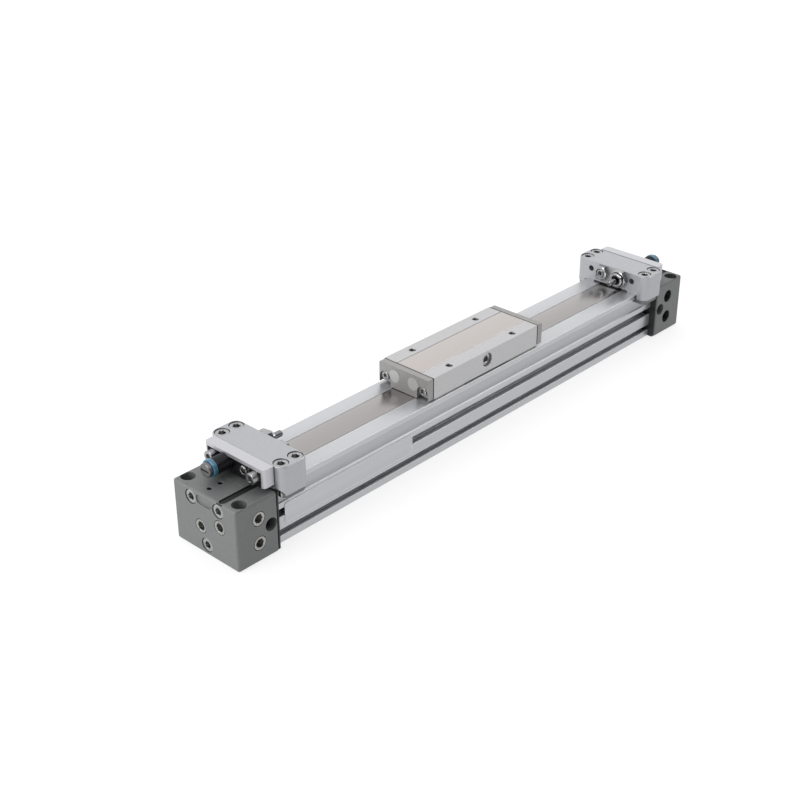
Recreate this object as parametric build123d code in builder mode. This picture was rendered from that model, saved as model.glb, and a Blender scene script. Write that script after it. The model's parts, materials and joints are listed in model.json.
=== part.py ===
"""Band-type rodless pneumatic cylinder, 25 mm bore, 200 mm stroke, with a stroke adjuster at each end.

Frame: X along the stroke, Z up, origin at the bottom centre. All sizes are in millimetres.
The left end is at -X. The right end cap mirrors the left one, and the right stroke adjuster is the
left one turned half a turn about Z.
"""

import os
from math import acos, cos, sin, sqrt

from build123d import *

os.makedirs("parts", exist_ok=True)

# Main sizes
bore = 25.0
stroke = 200.0
length_over_stroke = 220.0
cap_length = 29.5
cap_width = 51.6
cap_rise = 0.4
gasket_thickness = 1.0
running_gap = 0.08
loose_gap = 0.05
slide_gap = 0.3
gasket_inset = 0.2
least_flat = 0.2
tiny = 0.01

# Tube extrusion
tube_width = 42.0
tube_height = 38.2
bore_depth = 15.9
tube_edge_radius = 0.5
slot_width = 6.4
lip_thickness = 3.3
lip_root_width = 35.2
ledge_height = 25.8
ledge_step = 0.7
ledge_rise = 0.4
switch_slot_height = 19.5
switch_slot_mouth = 5.0
switch_slot_head = 7.0
foot_slot_height = 6.7
foot_slot_mouth = 4.0
foot_slot_head = 7.0
slot_lip = 1.4
slot_depth = 5.0
air_passage_radius = 2.2
air_passage_y = 14.2
air_passage_height = 13.4

# Steel dust band and plastic seal band
dust_band_width = 18.4
dust_band_thickness = 0.3
seal_band_width = 9.0
seal_band_thickness = 0.8
seal_stem_width = 5.8
seal_stem_height = 2.4
seal_seat_depth = 3.0
band_bend_radius = 40.0
crest_gap = 0.43
dust_band_crest = 8.0
band_lie = 0.02
seal_band_dip = 8.5
seal_band_trough = 12.0

# End cap fittings
cap_edge_radius = 1.5
tube_screw_y = 11.2
tube_screw_depth = 5.2
tube_screw_drop = 15.9
screw5_radius = 2.4
screw5_head_radius = 4.25
screw5_head_height = 5.0
screw5_key = 4.0
head_chamfer_share = 0.09
key_depth_share = 0.55
counterbore_gap = 0.25
head_recess = 0.4
tube_screw_reach = 12.0
mount_hole_inset = 7.1
mount_hole_y = 21.0
mount_hole_radius = 2.75
mount_counterbore_radius = 4.4
mount_counterbore_depth = 5.5
port_radius = 4.5
port_depth = 9.0
plug_chamfer = 0.5
port_inset = 15.9
port_rises = (5.1, -10.6)
end_port_offsets = ((4.0, -5.2), (-11.9, 0.8))
plug_length = 7.0
plug_key = 5.0
plug_key_depth = 4.2
needle_inset = 24.4
needle_drop = 2.4
needle_radius = 4.1
needle_depth = 10.0
needle_length = 4.5
needle_slot_width = 1.0
plate_recess_width = 13.2
plate_recess_height = 6.0
plate_recess_drop = 4.4
plate_recess_depth = 0.8
groove_y = -12.5
groove_width = 4.5
groove_start = 0.8
groove_depth = 0.8
set_screw_radius = 1.5
set_screw_insets = (6.7, 14.3)
set_screw_y = 2.7
set_screw_sink = 0.5
set_screw_key = 1.5
seal_band_end_inset = 4.0
dust_band_end_inset = 20.0
band_clamp_thickness = 0.4
spigot_length = 5.0
seal_seat_width = 9.4
spear_radius = 4.0
spear_length = 15.0
spear_tip_radius = 2.0
dimple_radius = 0.5
dimple_place = (1.6, 15.2)

# Stroke adjusters
adjuster_start = 30.0
adjuster_length = 20.5
adjuster_half_width = 29.5
adjuster_crown = 6.4
adjuster_corner_radius = 5.0
adjuster_relief_width = 28.0
adjuster_relief = 1.2
leg_inner_y = 22.2
leg_drop = 2.8
block_edge = 0.5
corner_relief_depth = 3.0
corner_relief_half_width = 29.0
corner_relief_radius = 4.0
adjuster_screw_spacing = 10.5
adjuster_screw_y = 24.0
clamp_start = 33.2
clamp_length = 16.8
clamp_thickness = 2.8
clamp_inner_y = 19.0
clamp_outer_y = 28.6
clamp_drop = 0.15
clamp_corner_radius = 4.0
axis_y = 7.5
axis_rise = 8.8
cover_length = 7.7
cover_seam = 0.5
cover_half_width = 24.0
cover_drop = 5.0
cover_roof = 2.2
cover_leg = 2.2
cover_corner_radius = 2.5
holding_plate_thickness = 5.5
holding_plate_drop = 7.0
holding_screw_y = 17.0
holding_screw_rise = 0.3
screw4_radius = 2.0
screw4_head_radius = 3.5
screw4_head_height = 4.0
screw4_key = 3.0
plain_washer_radius = 3.8
plain_washer_thickness = 0.8
split_washer_radius = 3.5
split_washer_thickness = 1.2
split_washer_gap = 0.8
holding_screw_reach = 20.0
absorber_radius = 5.0
absorber_rear = 10.8
absorber_front = 56.5
absorber_ring_length = 2.8
absorber_end_length = 2.6
absorber_ring_proud = 0.4
absorber_end_radius = 4.3
absorber_slot_length = 6.45
absorber_slot_width = 1.2
absorber_slot_depth = 1.0
absorber_edge = 0.4
absorber_nut_flats = 12.0
absorber_nut_thickness = 4.0
rod_radius = 2.0
rod_tip_radius = 1.0
rod_tip = 64.0
rod_stroke = 7.0
rod_inside = 16.0
stop_bolt_radius = 3.0
stop_bolt_rear = 21.9
stop_bolt_front = 53.5
stop_bolt_key = 3.0
bolt_edge = 0.5
stop_nut_flats = 10.0
stop_nut_thickness = 3.0
flat_on_top = 30.0

# Carriage
carriage_rest_x = 1.1
carriage_length = 108.4
carriage_half_width = 20.15
table_gap = 1.0
table_rise = 15.2
end_plate_thickness = 4.1
end_gasket_thickness = 0.9
end_plate_gap = 1.3
tongue_gap = 0.3
tongue_half_width = 10.8
end_plate_corner_radius = 1.2
carriage_channel_width = 20.2
top_cover_width = 20.0
top_cover_thickness = 1.2
roof_thickness = 2.2
table_hole_spacing_x = 60.0
table_hole_spacing_y = 30.2
table_hole_radius = 2.1
table_hole_depth = 10.0
table_hole_chamfer = 0.5
side_screw_depth = 6.0
side_screw_head_height = 3.2
side_screw_recess = 1.2
side_screw_tip_y = 5.5
notch_y = 15.3
notch_radius = 4.4
notch_rise = 3.6
notch_depth = 3.0
plate_screw_radius = 1.5
plate_screw_head_radius = 2.75
plate_screw_head_height = 3.0
plate_screw_key = 2.5
plate_screw_reach = 8.0
plate_screw_rise = 1.5
pad_radius = 4.2
pad_depth = 2.0
pad_proud = 0.1
scraper_thickness = 2.0
scraper_height = 2.0
scraper_gap = 0.1
scraper_half_width = 9.2
bearing_width = 7.0
bearing_length = 26.0
bearing_inset = 2.0
bearing_edge = 0.6
shoe_length = 4.4
shoe_corner_radius = 3.0

# Piston and yoke
yoke_head_length = 30.0
yoke_head_width = 19.6
yoke_head_gap = 1.0
neck_length = 26.0
neck_width = 5.8
neck_overlap = 1.0
yoke_body_radius = 12.1
yoke_body_length = 72.0
band_channel_gap = 0.5
piston_length = 31.8
piston_radius = 11.9
piston_flat_gap = 0.95
seal_flat_gap = 0.35
seal_length = 4.0
seal_inset = 4.0
seal_groove_radius = 9.6
wear_ring_length = 5.0
wear_ring_inset = 12.0
wear_groove_radius = 10.9
magnet_length = 6.0
magnet_inset = 20.0
magnet_groove_radius = 8.6
cushion_bore_radius = 4.6
cushion_bore_depth = 17.0
piston_screw_reach = 12.0

# Blank identification plate on the tube's side
label_start = 38.6
label_end = 141.7
label_bottom = 11.5
label_top = 24.4
label_thickness = 0.25
label_corner_radius = 1.5

# Worked out sizes
overall_length = stroke + length_over_stroke
half_length = overall_length / 2
tube_half = tube_width / 2
bore_radius = bore / 2
bore_height = tube_height - bore_depth
lip_underside = tube_height - lip_thickness
seal_seat_height = tube_height - seal_seat_depth
cap_height = tube_height + cap_rise
tube_screw_top = tube_height - tube_screw_depth
tube_screw_bottom = bore_height - tube_screw_drop
plate_recess_middle = cap_height - plate_recess_drop
axis_height = tube_height + axis_rise
adjuster_top = axis_height + adjuster_crown
leg_bottom = tube_height - leg_drop
clamp_bottom = leg_bottom - clamp_thickness
cover_bottom = axis_height - cover_drop
holding_plate_bottom = axis_height - holding_plate_drop
carriage_bottom = tube_height + table_gap
carriage_top = tube_height + table_rise
end_plate_bottom = tube_height + end_plate_gap
tongue_bottom = tube_height + tongue_gap
channel_roof = carriage_top - roof_thickness
side_screw_height = carriage_top - side_screw_depth
notch_middle = end_plate_bottom + notch_rise
yoke_head_bottom = tube_height + yoke_head_gap
cap_inner_x = -half_length + cap_length
tube_end_x = cap_inner_x + gasket_thickness
dust_recess_width = dust_band_width + 2 * slide_gap
dust_recess_floor = tube_height - dust_band_thickness - loose_gap
dust_band_middle = dust_recess_floor + band_lie + dust_band_thickness / 2
dust_band_lift = channel_roof - crest_gap - dust_band_thickness / 2 - dust_band_middle
seal_flange_bottom = seal_seat_height - loose_gap - seal_band_thickness
seal_flange_top = seal_flange_bottom + seal_band_thickness
piston_flat_height = seal_flange_bottom - piston_flat_gap
seal_flat_height = seal_flange_bottom - seal_flat_gap
seal_flange_middle = seal_flange_bottom + seal_band_thickness / 2
seal_stem_middle = seal_flange_top + seal_stem_height / 2
carriage_half = carriage_length / 2
table_half = carriage_half - end_plate_thickness - end_gasket_thickness
top_cover_bottom = carriage_top - top_cover_thickness
adjuster_x = -half_length + adjuster_start
adjuster_end_x = adjuster_x + adjuster_length
adjuster_middle_x = adjuster_x + adjuster_length / 2
absorber_x = -half_length + absorber_rear
absorber_front_x = -half_length + absorber_front
cover_roof_bottom = adjuster_top - cover_roof
table_end_x = carriage_rest_x - table_half
carriage_end_x = carriage_rest_x - carriage_half
piston_outer_x = carriage_rest_x - yoke_body_length / 2 - piston_length
crown_top = dust_band_middle + dust_band_lift - dust_band_thickness / 2 - slide_gap
crown_radius = band_bend_radius - dust_band_thickness / 2 - slide_gap
crown_middle = (yoke_head_length + dust_band_crest) / 4
cover_x = adjuster_x - cover_length
holding_plate_x = adjuster_x - holding_plate_thickness
spigot_radius = bore_radius - loose_gap
cap_face = Plane.YZ.offset(-half_length)
cap_top = Plane.XY.offset(cap_height)
adjuster_rear = Plane.YZ.offset(adjuster_x)
carriage_face = Plane.YZ.offset(carriage_end_x)

# Worked out places
both_sides = (-1, 1)
air_passage_places = [(side * air_passage_y, air_passage_height) for side in both_sides]
side_port_places = [(-half_length + port_inset, bore_height + rise) for rise in port_rises]
end_port_places = [(y, bore_height + rise) for y, rise in end_port_offsets]
needle_place = (-half_length + needle_inset, bore_height - needle_drop)
mount_places = [(-half_length + mount_hole_inset, side * mount_hole_y) for side in both_sides]
set_screw_places = [(-half_length + inset, set_screw_y) for inset in set_screw_insets]
adjuster_screw_places = [
    (adjuster_middle_x + way * adjuster_screw_spacing / 2, side * adjuster_screw_y)
    for way in both_sides
    for side in both_sides
]
holding_screw_places = [(side * holding_screw_y, axis_height + holding_screw_rise) for side in both_sides]
plate_screw_places = [(side * notch_y, notch_middle + plate_screw_rise) for side in both_sides]
pad_places = [(side * axis_y, axis_height) for side in both_sides]
table_places = [
    (carriage_rest_x + way * table_hole_spacing_x / 2, side * table_hole_spacing_y / 2)
    for way in both_sides
    for side in both_sides
]


def save(part, name):
    """Label a finished piece and write it as a STEP file."""
    part.label = name
    export_step(part, f"parts/{name}.step")


def mirrored(part):
    """The same piece at the other end of the tube, as a mirror image."""
    return part.mirror(Plane.YZ)


def turned(part):
    """The same piece at the other end of the tube, turned half a turn about Z."""
    return part.rotate(Axis.Z, 180)


def across(part):
    """The same piece at the other end of the carriage, as a mirror image."""
    return part.mirror(Plane.YZ.offset(carriage_rest_x))


def save_pair(part, twin, name):
    """Write a piece of the left end and its twin at the right end as two nodes."""
    save(part, f"left_{name}")
    save(twin, f"right_{name}")


def save_group(name, *members):
    """Write like pieces as one node of separate solids."""
    with BuildPart() as group:
        for member in members:
            add(member)
    save(group.part, name)


def facing(direction, x, y, z):
    """Location at x, y, z with its Z axis along the direction and its X axis upright where it can be."""
    upright = (1, 0, 0) if abs(direction[2]) == 1 else (0, 0, 1)
    return Location(Plane(origin=(x, y, z), x_dir=upright, z_dir=direction))


def socket_screw(radius, reach, head_radius, head_height, key):
    """Socket head screw that points down from a head whose top is at Z = 0."""
    with BuildPart() as screw:
        Cylinder(head_radius, head_height, align=(Align.CENTER, Align.CENTER, Align.MAX))
        rim = screw.edges().filter_by(GeomType.CIRCLE).sort_by(Axis.Z)[-1]
        chamfer(rim, head_height * head_chamfer_share)
        with BuildSketch(Plane.XY.offset(-head_height)):
            Circle(radius)
        extrude(amount=-reach)
        with BuildSketch():
            RegularPolygon(key / 2, 6, major_radius=False)
        extrude(amount=-head_height * key_depth_share, mode=Mode.SUBTRACT)
    return screw.part


def hex_nut(flats, thickness, hole_radius):
    """Hexagon nut with its seat at Z = 0 and the corners of its outer face chamfered."""
    with BuildPart() as nut:
        Cylinder(flats / sqrt(3), thickness, align=(Align.CENTER, Align.CENTER, Align.MIN))
        rim = nut.edges().filter_by(GeomType.CIRCLE).sort_by(Axis.Z)[-1]
        chamfer(rim, flats / sqrt(3) - flats / 2)
        with BuildSketch():
            RegularPolygon(flats / 2, 6, major_radius=False, rotation=flat_on_top)
        extrude(amount=thickness, mode=Mode.INTERSECT)
        with BuildSketch():
            Circle(hole_radius)
        extrude(amount=thickness, mode=Mode.SUBTRACT)
    return nut.part


def port_plug():
    """Flush hexagon-socket plug whose outer face is at Z = 0."""
    with BuildPart() as plug:
        Cylinder(port_radius - loose_gap, plug_length, align=(Align.CENTER, Align.CENTER, Align.MAX))
        rim = plug.edges().filter_by(GeomType.CIRCLE).sort_by(Axis.Z)[-1]
        chamfer(rim, plug_chamfer)
        with BuildSketch():
            RegularPolygon(plug_key / 2, 6, major_radius=False)
        extrude(amount=-plug_key_depth, mode=Mode.SUBTRACT)
    return plug.part


def bend_run(height_change):
    """Length along X of a double bend of the band radius that climbs by the given height."""
    turn = acos(1 - height_change / (2 * band_bend_radius))
    return 2 * band_bend_radius * sin(turn)


def band_line(level, height_change, crest, end_x):
    """Centre line of a band from one end to the other, lifted (or dipped) over the carriage.

    The double bend on each side is two tangent arcs of the band radius.
    """
    turn = acos(1 - abs(height_change) / (2 * band_bend_radius))
    way = 1 if height_change > 0 else -1
    run = bend_run(abs(height_change))
    foot = crest / 2 + run
    half_rise = band_bend_radius * (1 - cos(turn))
    low = (foot - run / 2, level + way * half_rise)
    quarter = band_bend_radius * sin(turn / 2)
    dip = band_bend_radius * (1 - cos(turn / 2))
    rest = carriage_rest_x
    for side in both_sides:
        Line((side * end_x, level), (rest + side * foot, level))
        ThreePointArc(
            (rest + side * foot, level),
            (rest + side * (foot - quarter), level + way * dip),
            (rest + side * low[0], low[1]),
        )
        ThreePointArc(
            (rest + side * low[0], low[1]),
            (rest + side * (crest / 2 + quarter), level + height_change - way * dip),
            (rest + side * crest / 2, level + height_change),
        )
    Line((rest - crest / 2, level + height_change), (rest + crest / 2, level + height_change))


def cut_band_slot():
    """Cut the bore, the seal band's seat, the slot and the dust band's recess from a section."""
    with Locations((0, bore_height)):
        Circle(bore_radius, mode=Mode.SUBTRACT)
        Rectangle(slot_width, tube_height, align=(Align.CENTER, Align.MIN), mode=Mode.SUBTRACT)
    with Locations((0, seal_seat_height)):
        Rectangle(seal_seat_width, bore_radius, align=(Align.CENTER, Align.MAX), mode=Mode.SUBTRACT)
    with Locations((0, dust_recess_floor)):
        Rectangle(dust_recess_width, tube_height, align=(Align.CENTER, Align.MIN), mode=Mode.SUBTRACT)


def crown_drop(distance):
    """How far the yoke's crown lies below its top at a distance along X from its middle."""
    return crown_radius - sqrt(crown_radius**2 - (distance - dust_band_crest / 2) ** 2)


def ring_section(radius, flat_height, hole_radius=0.0):
    """Round section about the bore's axis, cut flat below the seal band, with an optional hole."""
    with Locations((0, bore_height)):
        Circle(radius)
    with Locations((0, flat_height)):
        Rectangle(2 * bore, bore, align=(Align.CENTER, Align.MIN), mode=Mode.SUBTRACT)
    if hole_radius > 0:
        with Locations((0, bore_height)):
            Circle(hole_radius, mode=Mode.SUBTRACT)


def cut_tube_screw_holes(radius, mode=Mode.SUBTRACT):
    """The three tube screws' circles on a section."""
    with Locations((-tube_screw_y, tube_screw_top), (tube_screw_y, tube_screw_top), (0, tube_screw_bottom)):
        Circle(radius, mode=mode)


# Tube: bore, band slot, two T-slots a side, clamp recesses and air passages along its length
with BuildPart() as tube:
    with BuildSketch(Plane.YZ.offset(tube_end_x)) as tube_section:
        with BuildLine():
            Polyline(
                (0, 0),
                (tube_half, 0),
                (tube_half, ledge_height),
                (tube_half - ledge_step, ledge_height + ledge_rise),
                (lip_root_width / 2, lip_underside),
                (tube_half, lip_underside),
                (tube_half, tube_height),
                (0, tube_height),
            )
            mirror(about=Plane.YZ)
        make_face()
        for side in both_sides:
            for height, mouth, head in (
                (switch_slot_height, switch_slot_mouth, switch_slot_head),
                (foot_slot_height, foot_slot_mouth, foot_slot_head),
            ):
                with Locations((side * tube_half, height)):
                    Rectangle(2 * slot_lip, mouth, mode=Mode.SUBTRACT)
                with Locations((side * (tube_half - (slot_lip + slot_depth) / 2), height)):
                    Rectangle(slot_depth - slot_lip, head, mode=Mode.SUBTRACT)
        outer_corners = tube_section.vertices().filter_by(lambda v: abs(abs(v.X) - tube_half) < tiny)
        fillet(outer_corners, tube_edge_radius)
        cut_band_slot()
        cut_tube_screw_holes(screw5_radius + loose_gap)
        with Locations(*air_passage_places):
            Circle(air_passage_radius, mode=Mode.SUBTRACT)
    extrude(amount=-2 * tube_end_x)
save(tube.part, "tube")

# Dust band: steel strip on top of the tube, lifted over the yoke inside the carriage
with BuildPart() as dust_band:
    with BuildSketch(Plane.XZ):
        with BuildLine() as dust_line:
            band_line(dust_band_middle, dust_band_lift, dust_band_crest, half_length - dust_band_end_inset)
        trace(dust_line.line, line_width=dust_band_thickness)
    extrude(amount=dust_band_width / 2, both=True)
save(dust_band.part, "dust_band")

# Seal band: flange that closes the slot from inside the bore, with a stem in the slot
with BuildPart() as seal_band:
    with BuildSketch(Plane.XZ):
        with BuildLine() as seal_line:
            band_line(seal_flange_middle, -seal_band_dip, seal_band_trough, half_length - seal_band_end_inset)
        trace(seal_line.line, line_width=seal_band_thickness)
    extrude(amount=seal_band_width / 2, both=True)
    with BuildSketch(Plane.XZ):
        with BuildLine() as stem_line:
            band_line(seal_stem_middle, -seal_band_dip, seal_band_trough, -tube_end_x)
        trace(stem_line.line, line_width=seal_stem_height)
    extrude(amount=seal_stem_width / 2, both=True)
save(seal_band.part, "seal_band")

# End cap with its ports, screw counterbores, mounting holes and band pockets
with BuildPart() as end_cap:
    with Locations((-half_length + cap_length / 2, 0, 0)):
        Box(cap_length, cap_width, cap_height, align=(Align.CENTER, Align.CENTER, Align.MIN))
    fillet(end_cap.edges(), cap_edge_radius)
    with BuildSketch(Plane.YZ.offset(cap_inner_x)):
        with Locations((0, bore_height)):
            Circle(spigot_radius)
    extrude(amount=spigot_length)
    with BuildSketch(cap_face):
        cut_tube_screw_holes(screw5_head_radius + counterbore_gap, Mode.ADD)
    extrude(amount=screw5_head_height + head_recess, mode=Mode.SUBTRACT)
    with BuildSketch(cap_face):
        cut_tube_screw_holes(screw5_radius + loose_gap, Mode.ADD)
    extrude(amount=cap_length, mode=Mode.SUBTRACT)
    with BuildSketch(cap_face):
        with Locations(*end_port_places):
            Circle(port_radius)
    extrude(amount=port_depth, mode=Mode.SUBTRACT)
    with BuildSketch(cap_face):
        with Locations((0, plate_recess_middle)):
            SlotOverall(plate_recess_width, plate_recess_height)
    extrude(amount=plate_recess_depth, mode=Mode.SUBTRACT)
    for side in both_sides:
        with BuildSketch(Plane.XZ.offset(side * cap_width / 2)):
            with Locations(*side_port_places):
                Circle(port_radius)
        extrude(amount=-side * port_depth, mode=Mode.SUBTRACT)
        with BuildSketch(Plane.XZ.offset(side * cap_width / 2)):
            with Locations(needle_place):
                Circle(needle_radius)
        extrude(amount=-side * needle_depth, mode=Mode.SUBTRACT)
    with BuildSketch(cap_top):
        with Locations(*mount_places):
            Circle(mount_counterbore_radius)
    extrude(amount=-mount_counterbore_depth, mode=Mode.SUBTRACT)
    with BuildSketch(cap_top):
        with Locations(*mount_places):
            Circle(mount_hole_radius)
    extrude(amount=-cap_height, mode=Mode.SUBTRACT)
    with BuildSketch(cap_top):
        with Locations((-half_length + groove_start, groove_y)):
            SlotOverall(2 * cap_length, groove_width, align=(Align.MIN, Align.CENTER))
    extrude(amount=-groove_depth, mode=Mode.SUBTRACT)
    with BuildSketch(cap_top):
        with Locations(*set_screw_places):
            Circle(set_screw_radius + loose_gap)
    extrude(amount=seal_flange_bottom - cap_height, mode=Mode.SUBTRACT)
    with BuildSketch(cap_top):
        with Locations((-half_length + dimple_place[0], dimple_place[1])):
            Circle(dimple_radius)
    extrude(amount=-dimple_radius, mode=Mode.SUBTRACT)
    with BuildSketch(Plane.YZ.offset(cap_inner_x + spigot_length)):
        with Locations((0, seal_flange_bottom - slide_gap)):
            Rectangle(
                seal_band_width + 2 * slide_gap,
                seal_band_thickness + 2 * slide_gap,
                align=(Align.CENTER, Align.MIN),
            )
    extrude(amount=-(cap_length + spigot_length - seal_band_end_inset + slide_gap), mode=Mode.SUBTRACT)
    with BuildSketch(Plane.YZ.offset(cap_inner_x)):
        with Locations((0, dust_recess_floor)):
            Rectangle(dust_recess_width, cap_height, align=(Align.CENTER, Align.MIN))
    extrude(amount=-(cap_length - dust_band_end_inset + slide_gap), mode=Mode.SUBTRACT)
save_pair(end_cap.part, mirrored(end_cap.part), "end_cap")

# Black gasket between the cap and the tube
with BuildPart() as cap_gasket:
    with BuildSketch(Plane.YZ.offset(cap_inner_x)) as gasket_outline:
        with Locations((0, gasket_inset)):
            Rectangle(
                cap_width - 2 * gasket_inset,
                tube_height - 2 * gasket_inset,
                align=(Align.CENTER, Align.MIN),
            )
        fillet(gasket_outline.vertices(), cap_edge_radius)
        cut_band_slot()
        cut_tube_screw_holes(screw5_radius + loose_gap)
        with Locations(*air_passage_places):
            Circle(air_passage_radius, mode=Mode.SUBTRACT)
    extrude(amount=gasket_thickness)
save_group("cap_gaskets", cap_gasket.part, mirrored(cap_gasket.part))

# Screws that hold the caps on the tube
tube_screw = socket_screw(
    screw5_radius,
    cap_length + gasket_thickness + tube_screw_reach - screw5_head_height - head_recess,
    screw5_head_radius,
    screw5_head_height,
    screw5_key,
)
with BuildPart() as cap_screws:
    with Locations(
        facing((-1, 0, 0), -half_length + head_recess, -tube_screw_y, tube_screw_top),
        facing((-1, 0, 0), -half_length + head_recess, tube_screw_y, tube_screw_top),
        facing((-1, 0, 0), -half_length + head_recess, 0, tube_screw_bottom),
    ):
        add(tube_screw)
save_group("tube_screws", cap_screws.part, mirrored(cap_screws.part))

# Port plugs: every port of the left cap, and all but the front side of the right cap
plug = port_plug()
end_plugs = [facing((-1, 0, 0), -half_length, y, z) for y, z in end_port_places]
front_plugs = [facing((0, -1, 0), x, -cap_width / 2, z) for x, z in side_port_places]
back_plugs = [facing((0, 1, 0), x, cap_width / 2, z) for x, z in side_port_places]
with BuildPart() as left_plugs:
    with Locations(*end_plugs, *front_plugs, *back_plugs):
        add(plug)
with BuildPart() as right_plugs:
    with Locations(*end_plugs, *back_plugs):
        add(plug)
save_group("port_plugs", left_plugs.part, mirrored(right_plugs.part))

# Cushion needles, deep in their side holes, with a screwdriver slot
with BuildPart() as needles:
    for side in both_sides:
        seat_y = side * (cap_width / 2 - needle_depth)
        with BuildSketch(Plane.XZ.offset(-seat_y)):
            with Locations(needle_place):
                Circle(needle_radius - loose_gap)
        extrude(amount=-side * needle_length)
        with BuildSketch(Plane.XZ.offset(-seat_y - side * needle_length)):
            with Locations(needle_place):
                Rectangle(2 * needle_radius, needle_slot_width)
        extrude(amount=side * needle_slot_width, mode=Mode.SUBTRACT)
save_group("cushion_needles", needles.part, mirrored(needles.part))

# Set screws that clamp the seal band inside the cap
with BuildPart() as set_screws:
    with BuildSketch(Plane.XY.offset(seal_flange_top)):
        with Locations(*set_screw_places):
            Circle(set_screw_radius)
    extrude(amount=cap_height - set_screw_sink - seal_flange_top)
    with BuildSketch(Plane.XY.offset(cap_height - set_screw_sink)):
        with Locations(*set_screw_places):
            RegularPolygon(set_screw_key / 2, 6, major_radius=False)
    extrude(amount=-set_screw_key, mode=Mode.SUBTRACT)
save_group("band_set_screws", set_screws.part, mirrored(set_screws.part))

# Plate that holds the dust band's end down in the cap
with BuildPart() as band_clamp:
    with BuildSketch(Plane.XY.offset(dust_band_middle + dust_band_thickness / 2)):
        with Locations((cap_inner_x, 0)):
            Rectangle(
                cap_length - dust_band_end_inset, dust_band_width, align=(Align.MAX, Align.CENTER)
            )
    extrude(amount=band_clamp_thickness)
save_group("band_clamps", band_clamp.part, mirrored(band_clamp.part))

# Cushion spear on the cap's spigot, which enters the piston's end
with BuildPart() as cushion_spear:
    with BuildSketch(Plane.YZ.offset(cap_inner_x + spigot_length)):
        with Locations((0, bore_height)):
            Circle(spear_radius)
    extrude(amount=spear_length)
    tip = cushion_spear.edges().filter_by(GeomType.CIRCLE).sort_by(Axis.X)[-1]
    fillet(tip, spear_tip_radius)
save_group("cushion_spears", cushion_spear.part, mirrored(cushion_spear.part))

# Adjuster block: a saddle over the tube with a leg down each side
with BuildPart() as adjuster_block:
    with BuildSketch(adjuster_rear):
        with BuildLine():
            Polyline(
                (0, tube_height + adjuster_relief),
                (adjuster_relief_width / 2, tube_height + adjuster_relief),
                (adjuster_relief_width / 2, tube_height),
                (leg_inner_y, tube_height),
                (leg_inner_y, leg_bottom),
                (adjuster_half_width, leg_bottom),
                (adjuster_half_width, adjuster_top),
                (0, adjuster_top),
            )
            mirror(about=Plane.YZ)
        make_face()
    extrude(amount=adjuster_length)
    upright_edges = adjuster_block.edges().filter_by(Axis.Z)
    fillet(
        upright_edges.filter_by(lambda e: abs(abs(e.center().Y) - adjuster_half_width) < tiny),
        adjuster_corner_radius,
    )
    chamfer(adjuster_block.faces().sort_by(Axis.Z)[-1].edges(), block_edge)
    with BuildSketch(adjuster_rear) as corner_relief:
        with Locations((0, tube_height + adjuster_relief)):
            Rectangle(2 * corner_relief_half_width, tube_height, align=(Align.CENTER, Align.MAX))
        fillet(corner_relief.vertices().group_by(Axis.Y)[-1], corner_relief_radius)
    extrude(amount=corner_relief_depth, mode=Mode.SUBTRACT)
    with BuildSketch(Plane.XY.offset(adjuster_top)):
        with Locations(*adjuster_screw_places):
            Circle(screw5_head_radius + counterbore_gap)
    extrude(amount=-(screw5_head_height + head_recess), mode=Mode.SUBTRACT)
    with BuildSketch(Plane.XY.offset(adjuster_top)):
        with Locations(*adjuster_screw_places):
            Circle(screw5_radius + loose_gap)
    extrude(amount=-adjuster_top, mode=Mode.SUBTRACT)
    with BuildSketch(adjuster_rear):
        with Locations((axis_y, axis_height)):
            Circle(absorber_radius + loose_gap)
        with Locations((-axis_y, axis_height)):
            Circle(stop_bolt_radius + running_gap)
        with Locations(*holding_screw_places):
            Circle(screw4_radius + loose_gap)
    extrude(amount=adjuster_length, mode=Mode.SUBTRACT)
save_pair(adjuster_block.part, turned(adjuster_block.part), "adjuster_block")

# Clamp plates that hook under the tube's upper lips
with BuildPart() as adjuster_clamps:
    with BuildSketch(Plane.YZ.offset(-half_length + clamp_start)):
        with BuildLine():
            Polyline(
                (clamp_inner_y, clamp_bottom),
                (clamp_outer_y, clamp_bottom),
                (clamp_outer_y, leg_bottom),
                (tube_half + slide_gap, leg_bottom),
                (tube_half + slide_gap, lip_underside - clamp_drop),
                (clamp_inner_y, lip_underside - clamp_drop),
                close=True,
            )
        make_face()
        mirror(about=Plane.YZ)
    extrude(amount=clamp_length)
    clamp_edges = adjuster_clamps.edges().filter_by(Axis.Z)
    fillet(
        clamp_edges.filter_by(lambda e: abs(abs(e.center().Y) - clamp_outer_y) < tiny),
        clamp_corner_radius,
    )
    with BuildSketch(Plane.XY.offset(adjuster_top)):
        with Locations(*adjuster_screw_places):
            Circle(screw5_radius + loose_gap)
    extrude(amount=-adjuster_top, mode=Mode.SUBTRACT)
save_pair(adjuster_clamps.part, turned(adjuster_clamps.part), "adjuster_clamps")

# Screws from the block's top into the clamp plates
adjuster_screw = socket_screw(
    screw5_radius,
    adjuster_top - head_recess - screw5_head_height - clamp_bottom,
    screw5_head_radius,
    screw5_head_height,
    screw5_key,
)
with BuildPart() as block_screws:
    with Locations(*[facing((0, 0, 1), x, y, adjuster_top - head_recess) for x, y in adjuster_screw_places]):
        add(adjuster_screw)
save_group("adjuster_screws", block_screws.part, turned(block_screws.part))

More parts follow.
